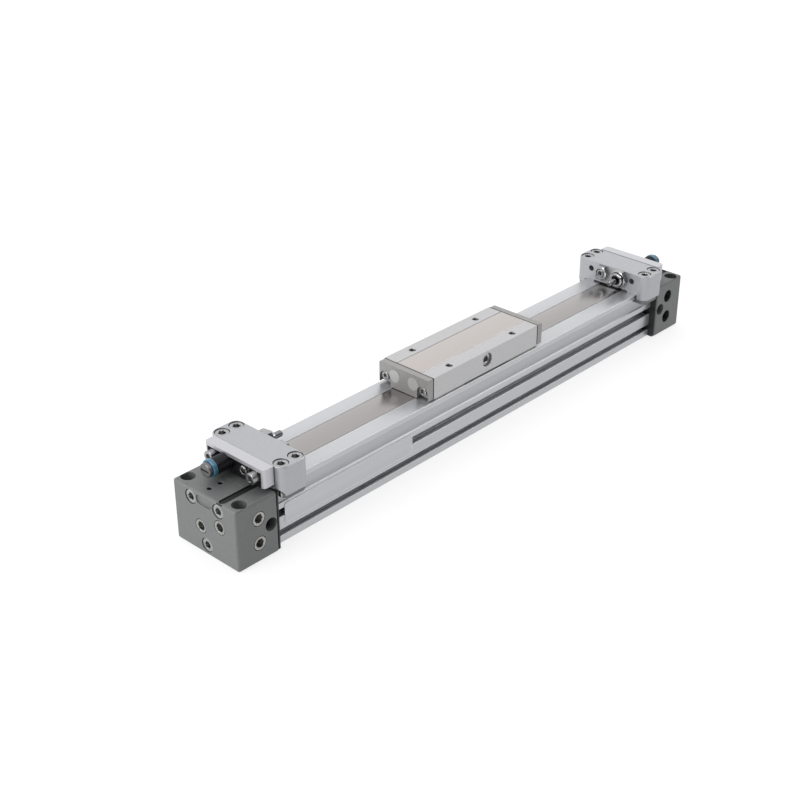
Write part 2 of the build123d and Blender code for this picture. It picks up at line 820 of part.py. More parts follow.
# Rear cover: an inverted U behind the block, above the cap
with BuildPart() as adjuster_cover:
    with BuildSketch(Plane.YZ.offset(cover_x)):
        with BuildLine():
            Polyline(
                (0, cover_roof_bottom),
                (cover_half_width - cover_leg, cover_roof_bottom),
                (cover_half_width - cover_leg, cover_bottom),
                (cover_half_width, cover_bottom),
                (cover_half_width, adjuster_top),
                (0, adjuster_top),
            )
            mirror(about=Plane.YZ)
        make_face()
        with Locations((axis_y, axis_height)):
            Circle(absorber_radius + loose_gap, mode=Mode.SUBTRACT)
    extrude(amount=cover_length - cover_seam)
    rear_edges = adjuster_cover.faces().sort_by(Axis.X)[0].edges().filter_by(Axis.Z)
    fillet(
        rear_edges.filter_by(lambda e: abs(abs(e.center().Y) - cover_half_width) < tiny),
        min(cover_corner_radius, cover_leg - least_flat),
    )
save_pair(adjuster_cover.part, turned(adjuster_cover.part), "adjuster_cover")

# Black steel plate inside the cover, held on the block by two screws
with BuildPart() as holding_plate:
    with BuildSketch(Plane.YZ.offset(holding_plate_x)):
        with Locations((0, cover_roof_bottom)):
            Rectangle(
                2 * (cover_half_width - cover_leg - loose_gap),
                cover_roof_bottom - holding_plate_bottom,
                align=(Align.CENTER, Align.MAX),
            )
        with Locations((axis_y, axis_height)):
            Circle(absorber_radius + loose_gap, mode=Mode.SUBTRACT)
        with Locations((-axis_y, axis_height)):
            Circle(stop_bolt_radius + running_gap, mode=Mode.SUBTRACT)
        with Locations(*holding_screw_places):
            Circle(screw4_radius + loose_gap, mode=Mode.SUBTRACT)
    extrude(amount=holding_plate_thickness)
save_pair(holding_plate.part, turned(holding_plate.part), "holding_plate")

# Plain and split washers under the holding screws' heads
with BuildPart() as plain_washer:
    with BuildSketch(Plane.YZ.offset(holding_plate_x)):
        with Locations(*holding_screw_places):
            Circle(plain_washer_radius)
            Circle(screw4_radius + loose_gap, mode=Mode.SUBTRACT)
    extrude(amount=-plain_washer_thickness)
save_group("plain_washers", plain_washer.part, turned(plain_washer.part))
with BuildPart() as split_washer:
    with BuildSketch(Plane.YZ.offset(holding_plate_x - plain_washer_thickness)):
        with Locations(*holding_screw_places):
            Circle(split_washer_radius)
            Circle(screw4_radius + loose_gap, mode=Mode.SUBTRACT)
            Rectangle(
                split_washer_gap,
                split_washer_radius,
                align=(Align.CENTER, Align.MIN),
                mode=Mode.SUBTRACT,
            )
    extrude(amount=-split_washer_thickness)
save_group("split_washers", split_washer.part, turned(split_washer.part))

# Two screws through the washers and the plate into the block
holding_screw = socket_screw(
    screw4_radius, holding_screw_reach, screw4_head_radius, screw4_head_height, screw4_key
)
holding_head_x = holding_plate_x - plain_washer_thickness - split_washer_thickness - screw4_head_height
with BuildPart() as plate_holding_screws:
    with Locations(*[facing((-1, 0, 0), holding_head_x, y, z) for y, z in holding_screw_places]):
        add(holding_screw)
save_group("holding_screws", plate_holding_screws.part, turned(plate_holding_screws.part))

# Shock absorber: threaded body around the rod's bore, turned down behind for its ring
with BuildPart() as absorber_body:
    with BuildSketch(Plane.YZ.offset(absorber_x)):
        with Locations((axis_y, axis_height)):
            Circle(absorber_end_radius)
    extrude(amount=absorber_ring_length)
    with BuildSketch(Plane.YZ.offset(absorber_x + absorber_ring_length)):
        with Locations((axis_y, axis_height)):
            Circle(absorber_radius)
    extrude(amount=absorber_front_x - absorber_x - absorber_ring_length)
    chamfer(absorber_body.edges().filter_by(GeomType.CIRCLE).sort_by(Axis.X)[-1], absorber_edge)
    with BuildSketch(Plane.YZ.offset(absorber_front_x)):
        with Locations((axis_y, axis_height)):
            Circle(rod_radius + running_gap)
    extrude(amount=-(rod_inside + rod_stroke + loose_gap), mode=Mode.SUBTRACT)
save_pair(absorber_body.part, turned(absorber_body.part), "absorber_body")

# Coloured ring around the body's end
with BuildPart() as absorber_ring:
    with BuildSketch(Plane.YZ.offset(absorber_x)):
        with Locations((axis_y, axis_height)):
            Circle(absorber_radius + absorber_ring_proud)
            Circle(absorber_end_radius + loose_gap, mode=Mode.SUBTRACT)
    extrude(amount=absorber_ring_length)
    chamfer(absorber_ring.edges().filter_by(GeomType.CIRCLE).group_by(SortBy.RADIUS)[-1], absorber_edge)
save_group("absorber_rings", absorber_ring.part, turned(absorber_ring.part))

# Slotted end behind the ring
with BuildPart() as absorber_end:
    with BuildSketch(Plane.YZ.offset(absorber_x)):
        with Locations((axis_y, axis_height)):
            Circle(absorber_end_radius)
    extrude(amount=-absorber_end_length)
    chamfer(absorber_end.edges().filter_by(GeomType.CIRCLE).sort_by(Axis.X)[0], absorber_edge)
    with BuildSketch(Plane.YZ.offset(absorber_x - absorber_end_length)):
        with Locations((axis_y, axis_height)):
            Rectangle(absorber_slot_length, absorber_slot_width)
    extrude(amount=absorber_slot_depth, mode=Mode.SUBTRACT)
save_group("absorber_ends", absorber_end.part, turned(absorber_end.part))

# Absorber rod with its rounded tip
with BuildPart() as absorber_rod:
    with BuildSketch(Plane.YZ.offset(absorber_front_x - rod_inside)):
        with Locations((axis_y, axis_height)):
            Circle(rod_radius)
    extrude(amount=rod_tip - absorber_front + rod_inside)
    fillet(absorber_rod.edges().filter_by(GeomType.CIRCLE).sort_by(Axis.X)[-1], rod_tip_radius)
save_pair(absorber_rod.part, turned(absorber_rod.part), "absorber_rod")

# Lock nuts of the absorber and of the stop bolt, against the block's front face
absorber_hex_nut = hex_nut(absorber_nut_flats, absorber_nut_thickness, absorber_radius + loose_gap)
with BuildPart() as absorber_nut:
    with Locations(facing((1, 0, 0), adjuster_end_x, axis_y, axis_height)):
        add(absorber_hex_nut)
save_group("absorber_nuts", absorber_nut.part, turned(absorber_nut.part))
stop_hex_nut = hex_nut(stop_nut_flats, stop_nut_thickness, stop_bolt_radius + running_gap)
with BuildPart() as stop_nut:
    with Locations(facing((1, 0, 0), adjuster_end_x, -axis_y, axis_height)):
        add(stop_hex_nut)
save_group("stop_nuts", stop_nut.part, turned(stop_nut.part))

# Stop bolt with a key socket in each end
with BuildPart() as stop_bolt:
    with BuildSketch(Plane.YZ.offset(-half_length + stop_bolt_rear)):
        with Locations((-axis_y, axis_height)):
            Circle(stop_bolt_radius)
    extrude(amount=stop_bolt_front - stop_bolt_rear)
    chamfer(stop_bolt.edges().filter_by(GeomType.CIRCLE), bolt_edge)
    for end, way in ((stop_bolt_rear, 1), (stop_bolt_front, -1)):
        with BuildSketch(Plane.YZ.offset(-half_length + end)):
            with Locations((-axis_y, axis_height)):
                RegularPolygon(stop_bolt_key / 2, 6, major_radius=False)
        extrude(amount=way * stop_bolt_key, mode=Mode.SUBTRACT)
save_pair(stop_bolt.part, turned(stop_bolt.part), "stop_bolt")

# Slide table: two rails joined by a thin roof over the dust band's channel
with BuildPart() as slide_table:
    with BuildSketch(Plane.YZ.offset(table_end_x)):
        with BuildLine():
            Polyline(
                (0, channel_roof),
                (carriage_channel_width / 2, channel_roof),
                (carriage_channel_width / 2, carriage_bottom),
                (carriage_half_width, carriage_bottom),
                (carriage_half_width, carriage_top),
                (top_cover_width / 2 + loose_gap, carriage_top),
                (top_cover_width / 2 + loose_gap, top_cover_bottom),
                (0, top_cover_bottom),
            )
            mirror(about=Plane.YZ)
        make_face()
    extrude(amount=2 * table_half)
    with BuildSketch(Plane.XY.offset(carriage_top)):
        with Locations(*table_places):
            Circle(table_hole_radius)
    extrude(amount=-table_hole_depth, mode=Mode.SUBTRACT)
    top_faces = slide_table.faces().group_by(Axis.Z)[-1]
    chamfer(top_faces.edges().filter_by(GeomType.CIRCLE), table_hole_chamfer)
    for side in both_sides:
        with BuildSketch(Plane.XZ.offset(side * carriage_half_width)):
            with Locations((carriage_rest_x, side_screw_height)):
                Circle(screw5_head_radius + counterbore_gap)
        extrude(amount=-side * (side_screw_head_height + side_screw_recess), mode=Mode.SUBTRACT)
        with BuildSketch(Plane.XZ.offset(side * carriage_half_width)):
            with Locations((carriage_rest_x, side_screw_height)):
                Circle(screw5_radius + loose_gap)
        extrude(amount=-side * carriage_half_width, mode=Mode.SUBTRACT)
        with BuildSketch(Plane.YZ.offset(carriage_rest_x + side * table_half)):
            with Locations(*plate_screw_places):
                Circle(plate_screw_radius + loose_gap)
        extrude(amount=-side * plate_screw_reach, mode=Mode.SUBTRACT)
save(slide_table.part, "slide_table")

# Stainless cover let into the table's top
with BuildPart() as table_cover:
    with Locations((carriage_rest_x, 0, top_cover_bottom)):
        Box(
            2 * table_half,
            top_cover_width,
            top_cover_thickness,
            align=(Align.CENTER, Align.CENTER, Align.MIN),
        )
save(table_cover.part, "table_cover")

# Gasket between the table and its end plate
with BuildPart() as end_gasket:
    with BuildSketch(Plane.YZ.offset(table_end_x - end_gasket_thickness)):
        with Locations((0, end_plate_bottom)):
            Rectangle(
                2 * (carriage_half_width - gasket_inset),
                carriage_top - gasket_inset - end_plate_bottom,
                align=(Align.CENTER, Align.MIN),
            )
        with Locations(*plate_screw_places):
            Circle(plate_screw_radius + loose_gap, mode=Mode.SUBTRACT)
    extrude(amount=end_gasket_thickness)
save_group("end_gaskets", end_gasket.part, across(end_gasket.part))

# End plate with two screw recesses open below, two pad seats and a tongue over the dust band
with BuildPart() as end_plate:
    with BuildSketch(carriage_face) as end_plate_outline:
        with BuildLine():
            Polyline(
                (0, tongue_bottom),
                (tongue_half_width, tongue_bottom),
                (tongue_half_width, end_plate_bottom),
                (carriage_half_width, end_plate_bottom),
                (carriage_half_width, carriage_top),
                (0, carriage_top),
            )
            mirror(about=Plane.YZ)
        make_face()
        fillet(end_plate_outline.vertices().group_by(Axis.Y)[-1], end_plate_corner_radius)
    extrude(amount=end_plate_thickness)
    with BuildSketch(carriage_face):
        for side in both_sides:
            with Locations((side * notch_y, notch_middle)):
                Circle(notch_radius)
                Rectangle(2 * notch_radius, notch_middle, align=(Align.CENTER, Align.MAX))
    extrude(amount=notch_depth, mode=Mode.SUBTRACT)
    with BuildSketch(carriage_face):
        with Locations(*pad_places):
            Circle(pad_radius + loose_gap)
    extrude(amount=pad_depth, mode=Mode.SUBTRACT)
    with BuildSketch(carriage_face):
        with Locations(*plate_screw_places):
            Circle(plate_screw_radius + loose_gap)
    extrude(amount=end_plate_thickness, mode=Mode.SUBTRACT)
    with BuildSketch(Plane.YZ.offset(carriage_end_x + end_plate_thickness)):
        with Locations((0, tongue_bottom)):
            Rectangle(
                2 * (scraper_half_width + loose_gap),
                scraper_height + loose_gap,
                align=(Align.CENTER, Align.MIN),
            )
    extrude(amount=-scraper_thickness, mode=Mode.SUBTRACT)
save_pair(end_plate.part, across(end_plate.part), "end_plate")

# Hard pads that meet the absorber rod and the stop bolt
with BuildPart() as stop_pad:
    with BuildSketch(Plane.YZ.offset(carriage_end_x - pad_proud)):
        with Locations(*pad_places):
            Circle(pad_radius)
    extrude(amount=pad_depth + pad_proud)
save_group("stop_pads", stop_pad.part, across(stop_pad.part))

# Screws of the end plates
plate_screw = socket_screw(
    plate_screw_radius,
    plate_screw_reach,
    plate_screw_head_radius,
    plate_screw_head_height,
    plate_screw_key,
)
with BuildPart() as plate_screws:
    with Locations(*[facing((-1, 0, 0), carriage_end_x, y, z) for y, z in plate_screw_places]):
        add(plate_screw)
save_group("end_plate_screws", plate_screws.part, across(plate_screws.part))

# Rubber scraper that wipes the dust band under the end plate
with BuildPart() as scraper:
    with BuildSketch(Plane.YZ.offset(carriage_end_x + end_plate_thickness)):
        with Locations((0, tube_height + scraper_gap)):
            Rectangle(
                2 * scraper_half_width,
                tongue_bottom + scraper_height - tube_height - scraper_gap,
                align=(Align.CENTER, Align.MIN),
            )
    extrude(amount=-(scraper_thickness - loose_gap))
save_group("scrapers", scraper.part, across(scraper.part))

# Side screws that join the table to the yoke
side_screw = socket_screw(
    screw5_radius,
    carriage_half_width - side_screw_recess - side_screw_head_height - side_screw_tip_y,
    screw5_head_radius,
    side_screw_head_height,
    screw5_key,
)
side_screw_places = [
    facing((0, side, 0), carriage_rest_x, side * (carriage_half_width - side_screw_recess), side_screw_height)
    for side in both_sides
]
with BuildPart() as table_side_screws:
    with Locations(*side_screw_places):
        add(side_screw)
save(table_side_screws.part, "table_side_screws")

# Plastic bearing strips under the rails
bearing_x = table_half - bearing_inset - bearing_length / 2
bearing_y = carriage_half_width - bearing_edge - bearing_width / 2
with BuildPart() as guide_bearings:
    with BuildSketch(Plane.XY.offset(carriage_bottom)):
        for way in both_sides:
            middle_x = carriage_rest_x + way * bearing_x
            with Locations((middle_x, -bearing_y), (middle_x, bearing_y)):
                Rectangle(bearing_length, bearing_width)
    extrude(amount=tube_height + loose_gap - carriage_bottom)
save(guide_bearings.part, "guide_bearings")

# Shoe that presses the dust band down at the table's end
with BuildPart() as band_shoe:
    with BuildSketch(Plane.XZ) as shoe_profile:
        with Locations((table_end_x, channel_roof)):
            Rectangle(
                shoe_length, channel_roof - tube_height - slide_gap, align=(Align.MIN, Align.MAX)
            )
        inner_corner = shoe_profile.vertices().group_by(Axis.Y)[0].sort_by(Axis.X)[-1]
        fillet(inner_corner, shoe_corner_radius)
    extrude(amount=dust_band_width / 2, both=True)
save_group("band_shoes", band_shoe.part, across(band_shoe.part))

# Yoke: crowned head under the dust band, neck in the slot, body in the bore around the seal band
with BuildPart() as yoke:
    with BuildSketch(Plane.XZ):
        with BuildLine():
            for way in both_sides:
                edge_x = carriage_rest_x + way * yoke_head_length / 2
                ThreePointArc(
                    (edge_x, crown_top - crown_drop(yoke_head_length / 2)),
                    (carriage_rest_x + way * crown_middle, crown_top - crown_drop(crown_middle)),
                    (carriage_rest_x + way * dust_band_crest / 2, crown_top),
                )
                Line((edge_x, yoke_head_bottom), (edge_x, crown_top - crown_drop(yoke_head_length / 2)))
            Line(
                (carriage_rest_x - dust_band_crest / 2, crown_top),
                (carriage_rest_x + dust_band_crest / 2, crown_top),
            )
            Line(
                (carriage_rest_x - yoke_head_length / 2, yoke_head_bottom),
                (carriage_rest_x + yoke_head_length / 2, yoke_head_bottom),
            )
        make_face()
    extrude(amount=yoke_head_width / 2, both=True)
    with Locations((carriage_rest_x, 0, bore_height)):
        Box(
            neck_length,
            neck_width,
            yoke_head_bottom + neck_overlap - bore_height,
            align=(Align.CENTER, Align.CENTER, Align.MIN),
        )
    with BuildSketch(Plane.YZ.offset(carriage_rest_x - yoke_body_length / 2)):
        with Locations((0, bore_height)):
            Circle(yoke_body_radius)
    extrude(amount=yoke_body_length)
    with BuildSketch(Plane.XZ):
        with BuildLine() as channel_line:
            band_line(
                seal_flange_bottom + (seal_band_thickness + seal_stem_height) / 2,
                -seal_band_dip,
                seal_band_trough,
                -tube_end_x,
            )
        trace(
            channel_line.line,
            line_width=seal_band_thickness + seal_stem_height + 2 * band_channel_gap,
        )
    extrude(amount=seal_band_width / 2 + slide_gap, both=True, mode=Mode.SUBTRACT)
    for side in both_sides:
        with BuildSketch(Plane.XZ.offset(side * yoke_head_width / 2)):
            with Locations((carriage_rest_x, side_screw_height)):
                Circle(screw5_radius + loose_gap)
        extrude(amount=-side * (yoke_head_width / 2 - side_screw_tip_y), mode=Mode.SUBTRACT)
        with BuildSketch(Plane.YZ.offset(carriage_rest_x + side * yoke_body_length / 2)):
            with Locations((0, bore_height)):
                Circle(screw5_radius + loose_gap)
        extrude(amount=-side * piston_screw_reach, mode=Mode.SUBTRACT)
save(yoke.part, "yoke")

# Piston head with grooves for its seal, wear ring and magnet
with BuildPart() as piston:
    with BuildSketch(Plane.YZ.offset(piston_outer_x)):
        ring_section(piston_radius, piston_flat_height)
    extrude(amount=piston_length)
    for inset, length, groove_radius in (
        (seal_inset, seal_length, seal_groove_radius),
        (wear_ring_inset, wear_ring_length, wear_groove_radius),
        (magnet_inset, magnet_length, magnet_groove_radius),
    ):
        with BuildSketch(Plane.YZ.offset(piston_outer_x + inset)):
            with Locations((0, bore_height)):
                Circle(bore)
                Circle(groove_radius, mode=Mode.SUBTRACT)
        extrude(amount=length, mode=Mode.SUBTRACT)
    with BuildSketch(Plane.YZ.offset(piston_outer_x)):
        with Locations((0, bore_height)):
            Circle(cushion_bore_radius)
    extrude(amount=cushion_bore_depth, mode=Mode.SUBTRACT)
    with BuildSketch(Plane.YZ.offset(piston_outer_x)):
        with Locations((0, bore_height)):
            Circle(screw5_radius + loose_gap)
    extrude(amount=piston_length, mode=Mode.SUBTRACT)
save_pair(piston.part, across(piston.part), "piston")

# Rings in the pistons' grooves
with BuildPart() as piston_seal:
    with BuildSketch(Plane.YZ.offset(piston_outer_x + seal_inset + loose_gap)):
        ring_section(bore_radius - running_gap, seal_flat_height, seal_groove_radius + loose_gap)
    extrude(amount=seal_length - 2 * loose_gap)
save_group("piston_seals", piston_seal.part, across(piston_seal.part))
with BuildPart() as wear_ring:
    with BuildSketch(Plane.YZ.offset(piston_outer_x + wear_ring_inset + loose_gap)):
        ring_section(bore_radius - running_gap, seal_flat_height, wear_groove_radius + loose_gap)
    extrude(amount=wear_ring_length - 2 * loose_gap)
save_group("wear_rings", wear_ring.part, across(wear_ring.part))
with BuildPart() as piston_magnet:
    with BuildSketch(Plane.YZ.offset(piston_outer_x + magnet_inset + loose_gap)):
        ring_section(piston_radius - slide_gap, piston_flat_height, magnet_groove_radius + loose_gap)
    extrude(amount=magnet_length - 2 * loose_gap)
save_group("piston_magnets", piston_magnet.part, across(piston_magnet.part))

# Screws that hold the piston heads on the yoke, at the bottom of the cushion bores
piston_screw = socket_screw(
    screw5_radius,
    piston_length - cushion_bore_depth + piston_screw_reach,
    screw5_head_radius,
    screw5_head_height,
    screw5_key,
)
piston_head_x = piston_outer_x + cushion_bore_depth - screw5_head_height
with BuildPart() as yoke_screw:
    with Locations(facing((-1, 0, 0), piston_head_x, 0, bore_height)):
        add(piston_screw)
save_group("piston_screws", yoke_screw.part, across(yoke_screw.part))

# Blank identification plate on the tube's side
with BuildPart() as label_plate:
    with BuildSketch(Plane.XZ.offset(tube_half)):
        with Locations((-half_length + (label_start + label_end) / 2, (label_bottom + label_top) / 2)):
            RectangleRounded(label_end - label_start, label_top - label_bottom, label_corner_radius)
    extrude(amount=label_thickness)
save(label_plate.part, "label_plate")
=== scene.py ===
"""Looks of a band-type rodless air cylinder: camera, light, finishes and finely made pieces.

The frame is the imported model: X along the stroke, Z up, the origin at the bottom centre.
Sizes in the classes are millimetres, as on a drawing, and become metres where a mesh is made.
The left end is at -X. Pieces of the right end are the left ones mirrored or turned half a turn.
"""

import json
import logging
import math
from dataclasses import dataclass
from enum import Enum
from typing import Callable, Sequence

import bmesh
import bpy
import numpy as np
from mathutils import Matrix, Vector

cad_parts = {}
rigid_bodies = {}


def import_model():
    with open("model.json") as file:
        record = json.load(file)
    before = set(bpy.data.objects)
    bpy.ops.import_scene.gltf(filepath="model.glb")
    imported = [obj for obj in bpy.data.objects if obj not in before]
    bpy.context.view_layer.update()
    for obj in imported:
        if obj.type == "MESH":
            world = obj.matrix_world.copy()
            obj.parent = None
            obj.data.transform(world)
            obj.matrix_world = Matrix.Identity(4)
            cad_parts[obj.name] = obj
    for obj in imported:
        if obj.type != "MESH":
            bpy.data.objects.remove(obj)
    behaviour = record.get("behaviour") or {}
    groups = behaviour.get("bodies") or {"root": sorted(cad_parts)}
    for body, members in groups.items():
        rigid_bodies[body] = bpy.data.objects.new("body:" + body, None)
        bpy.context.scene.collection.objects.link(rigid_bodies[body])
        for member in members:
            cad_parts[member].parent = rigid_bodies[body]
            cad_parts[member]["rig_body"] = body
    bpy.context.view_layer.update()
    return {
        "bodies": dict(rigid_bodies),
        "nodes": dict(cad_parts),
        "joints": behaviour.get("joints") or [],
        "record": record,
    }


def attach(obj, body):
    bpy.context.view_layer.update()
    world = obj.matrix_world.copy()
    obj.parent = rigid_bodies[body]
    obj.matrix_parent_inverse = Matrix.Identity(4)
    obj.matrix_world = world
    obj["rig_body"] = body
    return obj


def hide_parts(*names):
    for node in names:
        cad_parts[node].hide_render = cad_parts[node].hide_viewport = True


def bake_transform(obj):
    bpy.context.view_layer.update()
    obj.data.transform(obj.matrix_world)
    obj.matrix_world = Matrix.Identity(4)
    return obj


LOG = logging.getLogger("rodless_cylinder")
MM = 0.001
SHARP_ANGLE = math.radians(32)
TURN = 2 * math.pi
HALF_LENGTH = 210.0
CARRIAGE_X = 1.1
WELD_DIGITS = 5
NEAR_UPRIGHT = 0.9
ROWS_PER_TURN = 6
FEWEST_ROWS = 4

Vec3 = tuple[float, float, float]
Colour = tuple[float, float, float]
Pair = tuple[float, float]
Pairs = tuple[Pair, ...]
Tree = bpy.types.NodeTree
Socket = bpy.types.NodeSocket


def linear(colour: Colour) -> Colour:
    """Screen colour to linear light, by the usual power of 2.4 with its straight foot.

    Args:
        colour: red, green and blue as seen on screen, each 0 to 1.

    Returns:
        The same colour in linear light.
    """
    foot_end, foot_slope, lift, power = 0.04045, 12.92, 0.055, 2.4
    seen = np.asarray(colour, float)
    light = np.where(seen <= foot_end, seen / foot_slope, ((seen + lift) / (1 + lift)) ** power)
    return tuple(float(part) for part in light)


# Surfaces


@dataclass
class Shell:
    """A surface as arrays: points in millimetres, four-cornered faces and flat end faces."""

    points: np.ndarray
    faces: np.ndarray
    ends: list[np.ndarray]

    @classmethod
    def grid(cls, points: np.ndarray, ring: bool = True, loop: bool = False) -> "Shell":
        """Faces between neighbours of a grid of points.

        Args:
            points: rows by columns by 3.
            ring: the last column joins the first.
            loop: the last row joins the first.

        Returns:
            The grid as a shell.
        """
        rows, columns = points.shape[:2]
        net = np.arange(rows * columns).reshape(rows, columns)
        if loop:
            net = np.vstack([net, net[:1]])
        if ring:
            net = np.hstack([net, net[:, :1]])
        corners = (net[:-1, :-1], net[:-1, 1:], net[1:, 1:], net[1:, :-1])
        return cls(points.reshape(-1, 3), np.stack(corners, -1).reshape(-1, 4), [])

    @classmethod
    def swept(cls, section: np.ndarray, path: np.ndarray, across: np.ndarray) -> "Shell":
        """A closed section carried along a path in the XZ plane, with a flat face at each end.

        Each point is path + sideways * Y + upwards * normal, the normal turned from the path.

        Args:
            section: n by 2, sideways and upwards.
            path: m by 3 points.
            across: m by 3 unit normals of the path.

        Returns:
            The swept shell.
        """
        sideways = section[None, :, :1] * np.array([0.0, 1.0, 0.0])
        upwards = section[None, :, 1:] * across[:, None, :]
        shell = cls.grid(path[:, None, :] + sideways + upwards)
        count = len(section)
        last = len(shell.points) - count
        shell.ends = [np.arange(count)[::-1], last + np.arange(count)]
        return shell

    def moved(self, matrix: np.ndarray) -> "Shell":
        """The shell under a 4 by 4 matrix."""
        turned = self.points @ matrix[:3, :3].T + matrix[:3, 3]
        return Shell(turned, self.faces, self.ends)

    def facing(self, origin: Sequence[float], axis: Sequence[float]) -> "Shell":
        """The shell with its own Z along an axis and its own X upright where it can be.

        Args:
            origin: where the shell's own origin goes.
            axis: unit direction that its Z takes.

        Returns:
            The placed shell.
        """
        out = np.asarray(axis, float)
        upright = np.array([1.0, 0, 0]) if abs(out[2]) > NEAR_UPRIGHT else np.array([0, 0, 1.0])
        matrix = np.eye(4)
        matrix[:3, 0], matrix[:3, 1], matrix[:3, 2] = upright, np.cross(out, upright), out
        matrix[:3, 3] = origin
        return self.moved(matrix)

    def mirrored(self, about_x: float = 0.0) -> "Shell":
        """Mirror image across an upright plane.

        Args:
            about_x: the plane's X.

        Returns:
            The mirrored shell.
        """
        matrix = np.diag([-1.0, 1.0, 1.0, 1.0])
        matrix[0, 3] = 2 * about_x
        return self.moved(matrix)

    def turned(self) -> "Shell":
        """The shell turned half a turn about the upright axis."""
        return self.moved(np.diag([-1.0, -1.0, 1.0, 1.0]))

    @staticmethod
    def joined(shells: Sequence["Shell"]) -> "Shell":
        """Several shells as one, each still closed by itself.

        Args:
            shells: the shells in order.

        Returns:
            The shell of them all.
        """
        starts = np.cumsum([0] + [len(shell.points) for shell in shells[:-1]])
        return Shell(
            np.vstack([shell.points for shell in shells]),
            np.vstack([shell.faces + start for shell, start in zip(shells, starts)]),
            [end + start for shell, start in zip(shells, starts) for end in shell.ends],
        )

    def mesh(self, name: str) -> bpy.types.Mesh:
        """The shell as a mesh in metres, with its seams and poles closed.

        Points that fall together are made one, and a face that loses a corner becomes a triangle.

        Args:
            name: the mesh's name.

        Returns:
            The mesh, smooth but for edges above the sharp angle.
        """
        _, first, label = np.unique(
            np.round(self.points, WELD_DIGITS), axis=0, return_index=True, return_inverse=True
        )
        label = label.reshape(-1)
        quads = label[self.faces]
        doubled = quads == np.roll(quads, -1, axis=1)
        whole = quads[~doubled.any(axis=1)]
        bent = doubled.sum(axis=1) == 1
        threes = quads[bent][~doubled[bent]].reshape(-1, 3)
        polygons = whole.tolist() + threes.tolist() + [label[end].tolist() for end in self.ends]
        mesh = bpy.data.meshes.new(name)
        mesh.from_pydata((self.points[first] * MM).tolist(), [], polygons)
        work = bmesh.new()
        work.from_mesh(mesh)
        bmesh.ops.recalc_face_normals(work, faces=work.faces)
        work.to_mesh(mesh)
        work.free()
        mesh.polygons.foreach_set("use_smooth", np.ones(len(mesh.polygons), bool))
        mesh.set_sharp_from_angle(angle=SHARP_ANGLE)
        return mesh


def flats(theta: np.ndarray, across: float) -> np.ndarray:
    """Radius of a hexagon at each angle: half its width over the cosine to the nearest flat."""
    sixth = TURN / 6
    return across / 2 / np.cos((theta + sixth / 2) % sixth - sixth / 2)


def revolved(rows: Sequence[tuple], sides: int) -> Shell:
    """Surface turned about Z from rows of radius and height.

    A row's radius is a number, or a function of the angle for hexagons and knurls.

    Args:
        rows: pairs of radius and height, from one end of the profile to the other.
        sides: points round the axis, a multiple of six so that hexagons keep their corners.

    Returns:
        The turned shell, open or closed as its rows are.
    """
    theta = np.arange(sides) * TURN / sides
    radii = np.stack([row[0](theta) if callable(row[0]) else np.full(sides, row[0]) for row in rows])
    heights = np.repeat(np.array([row[1] for row in rows], float)[:, None], sides, axis=1)
    return Shell.grid(np.stack([radii * np.cos(theta), radii * np.sin(theta), heights], -1))


def round_over(radius: float, height: float, edge: float, rising: bool, steps: int = 3) -> list[tuple]:
    """Rows of a quarter circle over an outer rim: radius - e + e sin a, height - e + e cos a.

    Args:
        radius: the rim's outer radius.
        height: the rim's face.
        edge: the quarter circle's radius.
        rising: from the face outwards (False goes from the side to the face).
        steps: rows in the quarter circle less one.

    Returns:
        Rows of radius and height.
    """
    angle = np.linspace(0, TURN / 4, steps + 1)
    rows = [
        (float(r), float(z))
        for r, z in zip(radius - edge + edge * np.sin(angle), height - edge + edge * np.cos(angle))
    ]
    return rows if rising else rows[::-1]


def threaded(major: float, depth: float, pitch: float, start: float, end: float, sides: int) -> np.ndarray:
    """Screw thread as a grid: radius = major - depth * |2 * fraction(z / pitch - angle / turn) - 1|.

    The depth fades in and out over one pitch at each end, so the thread meets plain rims.

    Args:
        major: crest radius.
        depth: crest to root.
        pitch: advance in one turn.
        start: lower height.
        end: upper height.
        sides: points round the axis.

    Returns:
        Rows by columns by 3 points about Z.
    """
    rows = max(FEWEST_ROWS, int(round((end - start) / pitch * ROWS_PER_TURN)))
    height = np.linspace(start, end, rows + 1)[:, None]
    theta = (np.arange(sides) * TURN / sides)[None, :]
    wave = np.abs(2 * ((height / pitch - theta / TURN) % 1.0) - 1)
    fade = np.clip(np.minimum(height - start, end - height) / pitch, 0, 1)
    radius = major - depth * wave * fade
    height = np.broadcast_to(height, radius.shape)
    return np.stack([radius * np.cos(theta), radius * np.sin(theta), height], -1)


def rows_grid(rows: Sequence[tuple], sides: int) -> np.ndarray:
    """Points of turned rows as a rows by columns by 3 grid."""
    return revolved(rows, sides).points.reshape(len(rows), sides, 3)


